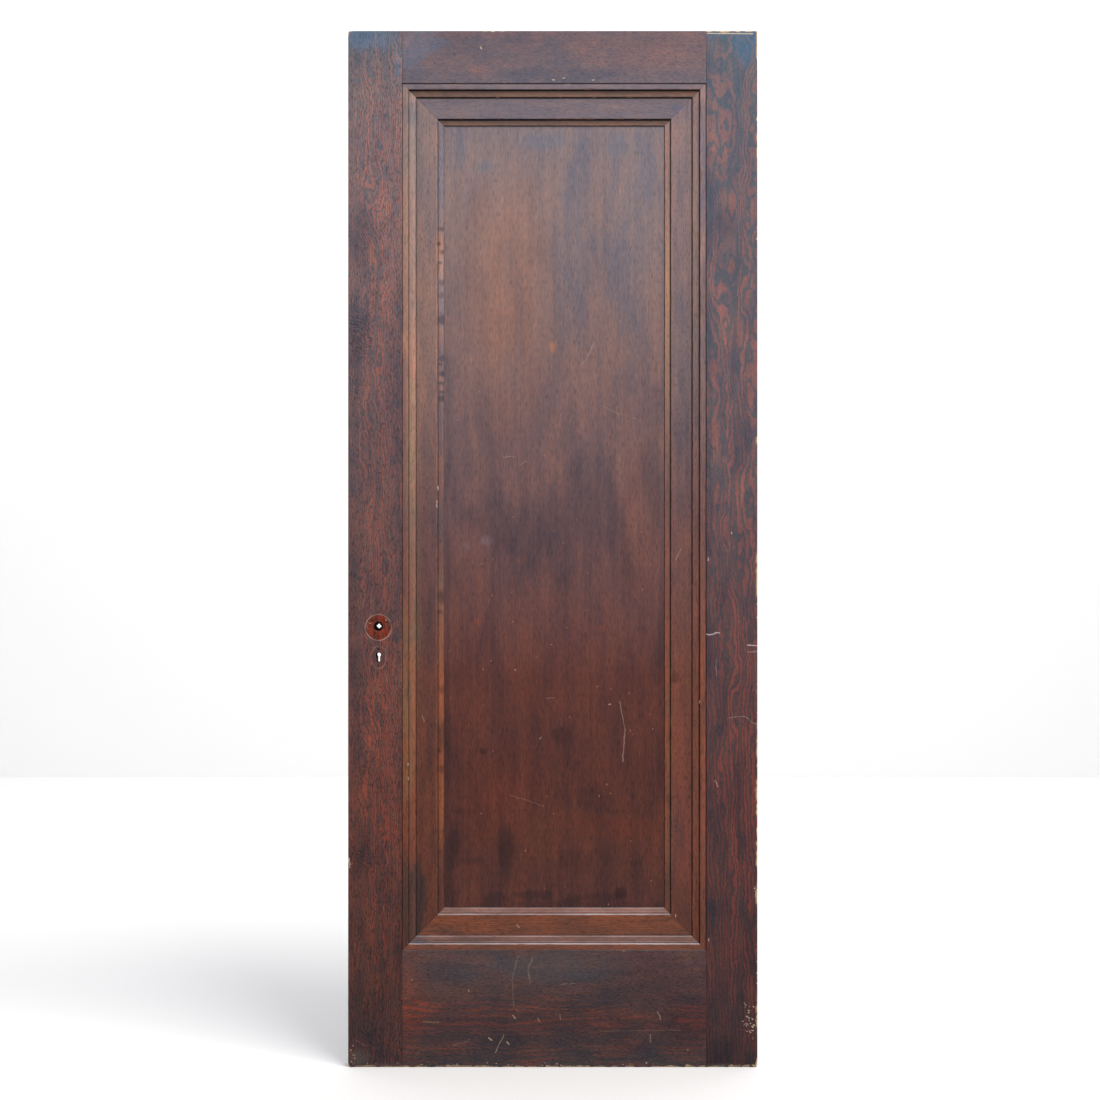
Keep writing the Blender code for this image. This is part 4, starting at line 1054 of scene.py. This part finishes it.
mouldingWoods = {
    "left": woodMaterial("varnished straight-grained hardwood, left moulding", {
        **straightGrain, "shift": 71.0, "tones": leftTones, "bands": leftBands,
        "patches": [
            {"tint": (0.72, 0.86, 1.0), "at": [
                ((-230, 1888.4), (11, 110), 0.9), ((-230, 1414.9), (11, 160), 0.8),
                ((-252.7, 1291.4), (26, 90), 0.35), ((-256.8, 756.1), (20, 120), 0.25),
            ]},
            {"tint": (0.48, 0.78, 0.98), "at": [((-295.9, 319.7), (32, 120), 0.75)]},
            {
                "tint": (1.05, 1.2, 1.18),
                "at": [((-291.8, 694.4), (16, 280), 0.8), ((-230, 1116.4), (11, 70), 0.7)],
            },
            {"tint": (1.15, 1.32, 1.5), "at": [((-230, 1610.4), (10, 80), 0.8)]},
            {"tint": (1.0, 1.04, 0.98), "at": [((-298, 1579.6), (22, 560), 0.9)]},
            {
                "tint": (0.9, 1.05, 1.25),
                "at": [((-230, 1826.6), (10, 130), 0.9), ((-230, 1373.7), (10, 180), 0.6)],
            },
            {
                "tint": (1.5, 1.72, 1.4),
                "at": [
                    ((-230, 962), (11, 90), 0.7), ((-230, 756.1), (11, 170), 0.8),
                    ((-230, 550.3), (11, 110), 0.8),
                ],
            },
            {"tint": (1.1, 1.27, 1.27), "at": [((-306.2, 632.6), (14, 200), 0.8)]},
            {"tint": (0.64, 0.78, 0.93), "at": [((-298, 1966.6), (28, 28), 0.9)]},
            {"tint": (0.82, 0.8, 0.96), "at": [((-308.3, 1373.7), (9, 180), 0.8)]},
            {
                "tint": (1.35, 1.5, 1.12),
                "at": [((-287.7, 1044.3), (16, 340), 0.7), ((-295.9, 776.7), (26, 240), 0.8)],
            },
            {"tint": (1.6, 1.2, 0.95), "at": [
                ((-233.1, 1678.4), (9, 60), 0.6), ((-230, 1507.5), (8, 24), 0.6),
                ((-230, 1416.9), (8, 8), 0.6), ((-230, 1397.4), (8, 7), 0.5),
                ((-230, 817.9), (9, 150), 0.7), ((-230, 591.4), (9, 110), 0.6),
                ((-237, 1336.6), (3, 140), 0.6),
            ]},
            {"tint": (0.36, 0.42, 0.52), "at": [
                ((-228, 1727.8), (8, 7), 0.8), ((-234.2, 1696.9), (6, 5), 0.8),
                ((-228, 1680.4), (7, 6), 0.8), ((-234.2, 1657.8), (6, 4), 0.7),
                ((-228, 1616.6), (7, 6), 0.6), ((-232.1, 1589.9), (8, 7), 0.5),
                ((-230, 1540.5), (9, 10), 0.8), ((-230, 968.2), (8, 16), 0.7),
                ((-228, 1460.2), (8, 7), 0.6), ((-232.1, 1447.8), (7, 4), 0.6),
                ((-230, 1428.3), (9, 7), 0.7), ((-232.1, 1409.7), (8, 4), 0.7),
                ((-228, 1391.2), (7, 4), 0.7), ((-230, 1377.8), (9, 8), 0.7),
                ((-234.2, 937.3), (6, 5), 0.7), ((-228, 776.7), (8, 12), 0.7),
                ((-230, 684.1), (8, 30), 0.6), ((-234.2, 651.1), (6, 6), 0.6),
                ((-230, 612), (8, 9), 0.6),
            ]},
        ],
        "scratches": [
            ((-237.3, 1196.7), (-237.3, 1188.4), 1.8, 0.9),
            ((-238.3, 1165.8), (-238.3, 1153.4), 2.0, 0.9), ((-311.2, 805.5), (-311.2, 801.4), 2.0, 0.8),
            ((-311.2, 747.9), (-311.2, 743.8), 2.0, 0.8), ((-297, 626.4), (-297, 622.3), 1.8, 0.7),
            ((-297, 595.6), (-297, 591.4), 1.8, 0.7),
            ((-269.2, 723.2), (-265, 710.8), 1.2, 0.4),
        ],
        "scratchColour": "#CDBBA8",
    }),
    "right": woodMaterial("varnished straight-grained hardwood, right moulding", {
        **straightGrain, "shift": 87.0, "tones": rightTones, "bands": rightBands,
        "patches": [
            {"tint": (0.7, 0.82, 0.94), "at": [
                ((266.1, 1332.5), (20, 90), 0.5), ((309.3, 1806), (8, 160), 0.35),
                ((278.4, 962), (14, 160), 0.3), ((303.1, 344.4), (30, 60), 0.35),
                ((239.3, 365), (12, 36), 0.8), ((305.2, 1966.6), (30, 28), 0.9),
            ]},
            {"tint": (0.93, 1.24, 1.14), "at": [((239.3, 591.4), (10, 330), 0.8)]},
            {"tint": (1.0, 1.13, 1.06), "at": [((305.2, 591.4), (20, 330), 0.8)]},
            {"tint": (0.8, 0.83, 0.85), "at": [((312.4, 1610.4), (8, 90), 0.8)]},
            {"tint": (0.75, 0.9, 1.1), "at": [((309.3, 1826.6), (9, 130), 0.8)]},
            {
                "tint": (1.6, 1.5, 1.05),
                "at": [((239.3, 1579.6), (10, 230), 0.7), ((239.3, 1394.3), (9, 120), 0.5)],
            },
            {"tint": (1.2, 1.2, 1.05), "at": [((291.8, 1682.5), (9, 260), 0.7)]},
            {
                "tint": (1.3, 1.1, 0.94),
                "at": [((268.1, 756.1), (22, 100), 0.4), ((309.3, 756.1), (12, 260), 0.4)],
            },
            {
                "tint": (0.42, 0.46, 0.5),
                "at": [
                    ((251.7, 801.4), (10, 14), 0.6), ((241.4, 684.1), (6, 30), 0.4),
                    ((241.4, 550.3), (6, 20), 0.4),
                ],
            },
        ],
        "scratches": [
            ((303.1, 754.1), (303.1, 749.9), 2.0, 0.9), ((316.5, 747.9), (316.5, 743.8), 2.0, 0.9),
            ((253.7, 313.5), (253.7, 309.4), 2.0, 0.8),
            ((229, 307.3), (229, 303.2), 2.0, 0.8), ((253.7, 1044.3), (266.1, 1069), 1.2, 0.4),
        ],
        "scratchColour": "#C4AE9C",
    }),
    "top": woodMaterial("varnished straight-grained hardwood, top moulding", {
        **straightGrain, "grain": "x", "shift": 101.0, "tones": topTones, "bands": topBands,
        "patches": [
            {"tint": (0.72, 0.88, 1.05), "at": [((262, 1970.7), (16, 14), 0.8)]},
            {
                "tint": (1.5, 1.15, 0.85),
                "at": [
                    ((274.3, 1983), (8, 5), 0.7), ((97.3, 1941.9), (80, 5), 0.4),
                    ((-170.3, 1941.9), (60, 5), 0.3),
                ],
            },
        ],
        "scratches": [((25.2, 2024.2), (35.5, 2024.2), 1.6, 0.5)],
    }),
    "bottom": woodMaterial("varnished straight-grained hardwood, bottom moulding", {
        **straightGrain, "grain": "x", "shift": 119.0, "tones": bottomTones, "bands": bottomBands,
        # painted highlights on the bottom run: pale lines on the upward ledges and arrises, and faint painted
        # reflections on its sloped faces
        "ledgeHighlights": [
            (13.7, 1.0, 0.8), (28.6, 0.8, 0.55), (73.4, 1.0, 0.8), (85.6, 0.6, 0.6), (0.5, 0.7, 0.7),
            (21.6, 5.2, 0.09), (80, 4.2, 0.13), (17.4, 0.5, 0.3), (78.6, 0.4, 0.3),
        ],
        "patches": [
            {
                "tint": (0.6, 0.78, 0.95),
                "at": [((-277.4, 266.2), (26, 14), 0.8), ((-232.1, 282.6), (40, 12), 0.4)],
            }
        ],
        "scratches": [
            ((-73.6, 290.9), (-70.5, 286.8), 2.2, 0.9), ((14.9, 257.9), (27.3, 257.9), 1.4, 0.5),
        ],
    }),
}
inward = {
    "top": Vector((0, 0, -1)), "bottom": Vector((0, 0, 1)), "left": Vector((1, 0, 0)),
    "right": Vector((-1, 0, 0)),
}
for face, outward in (("front", Vector((0, -1, 0))), ("back", Vector((0, 1, 0)))):
    for seed, (side, inwards) in enumerate(inward.items()):
        node = f"{face}_moulding_{side}"
        run = inwards.cross(outward)
        start = Vector((0, 0, 0))
        for i, axis in enumerate((Vector((1, 0, 0)), Vector((0, 0, 1)))):
            facing = (inwards + run).dot(axis)
            start += axis * (corners["low"] if facing > 0 else corners["high"])[i]
        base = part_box(node)[1].y if face == "front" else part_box(node)[0].y
        start.y = base
        first, last = (Vector((corners[end][0], 0, corners[end][1])) for end in ("low", "high"))
        openLength = abs((last - first).dot(run))
        stations = int(openLength / (moulding["stationSpacing"] * mm))
        mesh = buildFromNodes(node, sectionMesh, runTree, {
            "Length": openLength, "Mitre Gap": moulding["mitreGap"] * mm, "Stations": stations,
            "Wear Depth": moulding["wearDepth"] * mm, "Wear Size": moulding["wearSize"] * mm,
            "Seed": 3.7 * seed + (0 if face == "front" else 21.3), "Material": mouldingWoods[side],
        })
        turn = Matrix((inwards, outward, run)).transposed().to_4x4()
        mesh.transform(Matrix.Translation(start) @ turn)
        softenEdges(mesh, 0.7)
        piece = newObject(node + "_run", mesh)
        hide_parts(node)
        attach(piece, "door")
print("mouldings", stations)


# the panel stays the frame's own, fine and cloudy
# mean tones by mm up the door, with a painted reflection of the sky that makes them lighter and bluer high up
panelTones = [
    (330, "#53302A"), (480, "#502E28"), (800, "#572F28"), (1117, "#624544"), (1446, "#735956"),
    (1750, "#7E6865"), (1950, "#756A6E"),
]
panelLook = {
    **straightGrain, "shift": 140.0, "ringSpacing": 5.5, "middle": 0, "gain": (1.0, 1.0),
    "figure": [(90, 2400, 18, 18), (24, 420, 3, 3), (5, 40, 0.5, 0.5)], "ringAmount": 0.12,
    "ringLeast": 0.2,
    "breakSize": (7, 14), "mottle": 0.15, "lineTint": (1.35, 1.15, 1.02), "gapTint": (0.94, 0.95, 0.97),
    "tones": panelTones,
    "cloudSize": (46, 190), "cloudDark": (0.68, 0.79, 0.92), "cloudLight": (1.32, 1.18, 1.0),
    "fibre": (1.1, 22, 0.22), "pore": (1.6, 14, 0.28), "streak": (8, 500, 0.08),
    "patches": [
        {"tint": (1.3, 1.06, 0.88), "at": [
            ((-98.3, 1600.1), (90, 300), 0.8), ((-170.3, 962), (60, 200), 0.25),
            ((179.6, 1126.7), (50, 170), 0.6), ((-108.6, 529.7), (90, 110), 0.5),
            ((138.4, 492.6), (120, 30), 0.6), ((-16, 962), (60, 30), 0.2),
        ]},
        {"tint": (0.7, 0.9, 1.06), "hazeAndSheen": (0.01, 0.012, 0.016), "at": [
            ((169.3, 1682.5), (70, 260), 0.5), ((-139.5, 1857.5), (34, 16), 0.7),
            ((-16, 1908.9), (60, 20), 0.6), ((39.6, 1682.5), (40, 200), 0.45),
            ((142.6, 1898.6), (40, 30), 0.5), ((-190.9, 1888.4), (16, 40), 0.5),
            ((-83.9, 1435.5), (30, 70), 0.35),
        ]},
        {"tint": (0.56, 0.68, 0.8), "at": [
            ((39.6, 1126.7), (170, 110), 0.5), ((210.5, 1291.4), (24, 240), 0.5),
            ((14.9, 684.1), (20, 18), 0.6), ((-153.9, 1126.7), (50, 60), 0.5),
            ((-92.1, 451.5), (16, 50), 0.9), ((-207.4, 447.3), (14, 40), 0.8),
            ((-211.5, 348.5), (18, 40), 0.9), ((-16, 350.6), (14, 12), 0.9),
            ((37.6, 338.2), (20, 9), 0.9), ((45.8, 426.7), (60, 30), 0.6),
            ((-108.6, 344.4), (40, 12), 0.7), ((-186.8, 525.6), (22, 10), 0.5),
            ((76.7, 550.3), (70, 24), 0.35), ((159, 776.7), (40, 60), 0.3),
            ((-149.8, 1373.7), (30, 100), 0.35), ((-217.7, 920.8), (7, 600), 0.5),
            ((224.9, 920.8), (7, 560), 0.4), ((4.6, 334.1), (230, 8), 0.5),
            ((4.6, 1044.3), (70, 50), 0.3),
            ((-51, 352.6), (46, 10), 0.8), ((91.1, 346.5), (56, 10), 0.7),
            ((-92.1, 414.4), (13, 46), 0.7), ((179.6, 385.6), (24, 50), 0.4),
            ((-170.3, 422.6), (34, 9), 0.5),
        ]},
        {
            "tint": (0.4, 0.46, 0.52),
            "at": [((141.5, 356.8), (14, 12), 0.8), ((-145.6, 649.1), (8, 8), 0.6)],
        },
        {
            "tint": (1.0, 1.1, 1.25), "hazeAndSheen": (0.03, 0.032, 0.04),
            "at": [((-141.5, 1083.4), (16, 14), 0.7), ((-178.6, 1073.1), (10, 12), 0.4)],
        },
        {"tint": (1.6, 1.25, 0.92), "at": [
            ((-1.5, 1484.9), (10, 14), 0.9), ((-155.9, 916.7), (10, 7), 0.6),
            ((103.4, 902.3), (10, 8), 0.6), ((-67.4, 1044.3), (14, 8), 0.3),
        ]},
    ],
    "scratches": [
        ((138.4, 752), (148.7, 694.4), 1.5, 0.4), ((148.7, 694.4), (144.6, 628.5), 1.7, 0.5),
        ((-88, 558.5), (-24.2, 537.9), 1.0, 0.25),
        ((-103.2, 1257), (-76.9, 1258), 1.1, 0.4), ((-66.4, 1241.1), (-55.9, 1249), 1.1, 0.35),
        ((87, 1493.1), (72.6, 1466.3), 1.6, 0.3),
        ((72.6, 1466.3), (60.2, 1445.8), 1.4, 0.25), ((99.3, 1363.4), (134.3, 1346.9), 1.2, 0.2),
        ((134.3, 1346.9), (172.4, 1335.6), 1.2, 0.2),
        ((-13.9, 758.2), (4.6, 759.2), 1.0, 0.35), ((115.8, 745.8), (118.9, 745.8), 2.0, 0.8),
        ((-3.6, 870), (-1.5, 870), 1.8, 0.5),
        ((-78.5, 815.8), (-77.1, 817.9), 1.8, 0.6), ((-24.2, 677.9), (-26.2, 673.8), 1.9, 0.5),
    ],
    "scratchColour": "#B8988A", "fleckShare": 0.55, "fleckGrid": (1 / 22, 1 / 22, 1 / 30),
    "roughness": (0.36, 0.52), "shine": 0.12, "bump": 0.2,
}
panelWood = woodMaterial("varnished fine-grained hardwood, panel", panelLook)

# cast iron, left as cast and blackened by age: dull and nearly black, a ring behind the bore
lockIron = plainMaterial("blackened cast iron", "#171412", "#2A2522", 6, 0.85, (0.5, 0.75), 0.4)
# cast brass, filed flat and tarnished: brown with a soft metal shine, a little lighter where rubbed
agedBrass = plainMaterial("tarnished brass", "#574430", "#7D6645", 14, 1.0, (0.32, 0.44), 0.03)
kept = {
    "panel": panelWood, "lock_case": lockIron, "lock_hub": lockIron, "latch_bolt": agedBrass,
    "dead_bolt": agedBrass, "lock_faceplate": agedBrass,
}
for node, material in kept.items():
    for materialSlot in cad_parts[node].material_slots:
        materialSlot.material = material


# slotted countersunk screws in the faceplate
screw = {
    "Head Radius": 3.8 * mm, "Head Depth": 2.4 * mm, "Shank Radius": 1.7 * mm, "Length": 24 * mm,
    "Slot Width": 1.1 * mm, "Slot Depth": 0.8 * mm,
}
screwTree = bpy.data.node_groups.new("slotted screw", "GeometryNodeTree")
given, result = addSockets(
    screwTree,
    {
        "Start Mesh": "Geometry", **{name: "Float" for name in screw}, "Turn": "Float",
        "Material": "Material",
    },
    {"Screw": "Geometry"},
)
head = addNode(screwTree, "GeometryNodeMeshCone", {
    "Vertices": 48, "Side Segments": 1, "Radius Top": given["Head Radius"],
    "Radius Bottom": given["Shank Radius"], "Depth": given["Head Depth"],
})
down = addNode(screwTree, "ShaderNodeMath", {0: given["Head Depth"], 1: -1.0}, operation="MULTIPLY")
toFace = addNode(screwTree, "ShaderNodeCombineXYZ", {"Z": down})
head = addNode(screwTree, "GeometryNodeTransform", {"Geometry": head, "Translation": toFace})
shankLength = addNode(
    screwTree, "ShaderNodeMath", {0: given["Length"], 1: given["Head Depth"]}, operation="SUBTRACT",
)
shank = addNode(screwTree, "GeometryNodeMeshCone", {
    "Vertices": 48, "Side Segments": 1, "Radius Top": given["Shank Radius"], "Radius Bottom": 0.6 * mm,
    "Depth": shankLength,
})
shankPlace = addNode(screwTree, "ShaderNodeMath", {0: given["Length"], 1: -1.0}, operation="MULTIPLY")
shank = addNode(
    screwTree, "GeometryNodeTransform",
    {"Geometry": shank, "Translation": addNode(screwTree, "ShaderNodeCombineXYZ", {"Z": shankPlace})},
)
slotDepth = addNode(screwTree, "ShaderNodeMath", {0: given["Slot Depth"], 1: 2.0}, operation="MULTIPLY")
slotSize = addNode(
    screwTree, "ShaderNodeCombineXYZ", {"X": 20 * mm, "Y": given["Slot Width"], "Z": slotDepth},
)
slotBlock = addNode(screwTree, "GeometryNodeMeshCube", {"Size": slotSize})
slotTurn = addNode(screwTree, "ShaderNodeCombineXYZ", {"Z": given["Turn"]})
slotBlock = addNode(screwTree, "GeometryNodeTransform", {"Geometry": slotBlock, "Rotation": slotTurn})
joined = addNode(screwTree, "GeometryNodeMeshBoolean", operation="UNION").node
screwTree.links.new(head, joined.inputs["Mesh 2"])
screwTree.links.new(shank, joined.inputs["Mesh 2"])
slotted = addNode(
    screwTree, "GeometryNodeMeshBoolean", {"Mesh 1": joined.outputs["Mesh"], "Mesh 2": slotBlock},
    operation="DIFFERENCE",
)
whole = addNode(screwTree, "GeometryNodeRealizeInstances", {"Geometry": slotted})
whole = addNode(screwTree, "GeometryNodeSetMaterial", {"Geometry": whole, "Material": given["Material"]})
screwTree.links.new(whole, result["Screw"])
for node, turn in (("faceplate_screw_upper", 1.3), ("faceplate_screw_lower", 0.35)):
    low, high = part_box(node)
    mesh = buildFromNodes(
        node, bpy.data.meshes.new("seed"), screwTree, {**screw, "Turn": turn, "Material": agedBrass},
    )
    toEdge = Matrix.Rotation(-math.pi / 2, 4, "Y")  # the head faces out of the lock edge
    mesh.transform(Matrix.Translation((low.x, (low.y + high.y) / 2, (low.z + high.z) / 2)) @ toEdge)
    softenEdges(mesh, 0.5)
    piece = newObject(node + "_slotted", mesh)
    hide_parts(node)
    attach(piece, "door")
print("lock fittings")


# stage: pale floor and backdrop, a wide soft light high in front, cool as an overcast sky,
# a warmer one high on the right, and a third that keeps the backdrop near white
def stageMaterial(name, hexColour):
    material = bpy.data.materials.new(name)
    material.use_nodes = True
    shader = material.node_tree.nodes["Principled BSDF"]
    shader.inputs["Base Color"].default_value = linear(hexColour)
    shader.inputs["Roughness"].default_value = 0.9
    shader.inputs["Specular IOR Level"].default_value = 0.1
    return material


def plane(name, corners, material):
    mesh = bpy.data.meshes.new(name)
    mesh.from_pydata(corners, [], [(0, 1, 2, 3)])
    mesh.materials.append(material)
    return newObject(name, mesh)


studio = {
    "floorColour": "#F4F4F4", "worldColour": "#FBFBFF", "worldStrength": 0.45,
    "paperSide": 10, "paperNear": -8, "paperFar": 5.6, "paperTop": 9,  # metres
    "sky": {
        "place": (0.3, -5.0, 4.3), "aim": (0, 0, 1.1), "size": (5.0, 2.2), "radiance": 3.2,
        "colour": "#E4ECFA",
    },
    "key": {
        "place": (1.3, -1.9, 4.9), "aim": (0, 0, 1.1), "size": (2.2, 1.4), "radiance": 19.0,
        "colour": "#FFFAF2",
    },
    "wash": {
        "place": (0.0, 3.2, 4.8), "aim": (0, 5.0, 1.5), "size": (9.0, 1.8), "radiance": 3.0,
        "colour": "#FFFFFF",
    },
    "camera": {"place": (-0.0057, -4.42225, 1.0649), "lens": 69.95},
}
# matt white paper gives an even ground with no reflections
paper = stageMaterial("white paper", studio["floorColour"])
side, near, far, top = studio["paperSide"], studio["paperNear"], studio["paperFar"], studio["paperTop"]
floor = plane("floor", [(-side, near, 0), (side, near, 0), (side, far, 0), (-side, far, 0)], paper)
backdrop = plane(
    "backdrop", [(-side, far, 0), (side, far, 0), (side, far, top), (-side, far, top)], paper,
)
world = bpy.data.worlds.new("overcast")
world.use_nodes = True
world.node_tree.nodes["Background"].inputs["Color"].default_value = linear(studio["worldColour"])
world.node_tree.nodes["Background"].inputs["Strength"].default_value = studio["worldStrength"]
scene.world = world
for name in ("sky", "key", "wash"):
    setting = studio[name]
    light = bpy.data.lights.new(name, "AREA")
    light.shape = "RECTANGLE"
    light.size, light.size_y = setting["size"]
    light.energy = setting["radiance"] * setting["size"][0] * setting["size"][1] * math.pi
    light.color = linear(setting["colour"])[:3]
    lamp = bpy.data.objects.new(name, light)
    scene.collection.objects.link(lamp)
    lamp.location = setting["place"]
    lamp.rotation_euler = (Vector(setting["aim"]) - lamp.location).to_track_quat("-Z", "Y").to_euler()

camera = bpy.data.objects.new("camera", bpy.data.cameras.new("camera"))
scene.collection.objects.link(camera)
camera.location = studio["camera"]["place"]
camera.rotation_euler = (math.pi / 2, 0, 0)
camera.data.lens = studio["camera"]["lens"]
camera.data.sensor_width = 36
scene.camera = camera
scene.view_settings.view_transform = "Standard"
print("stage")
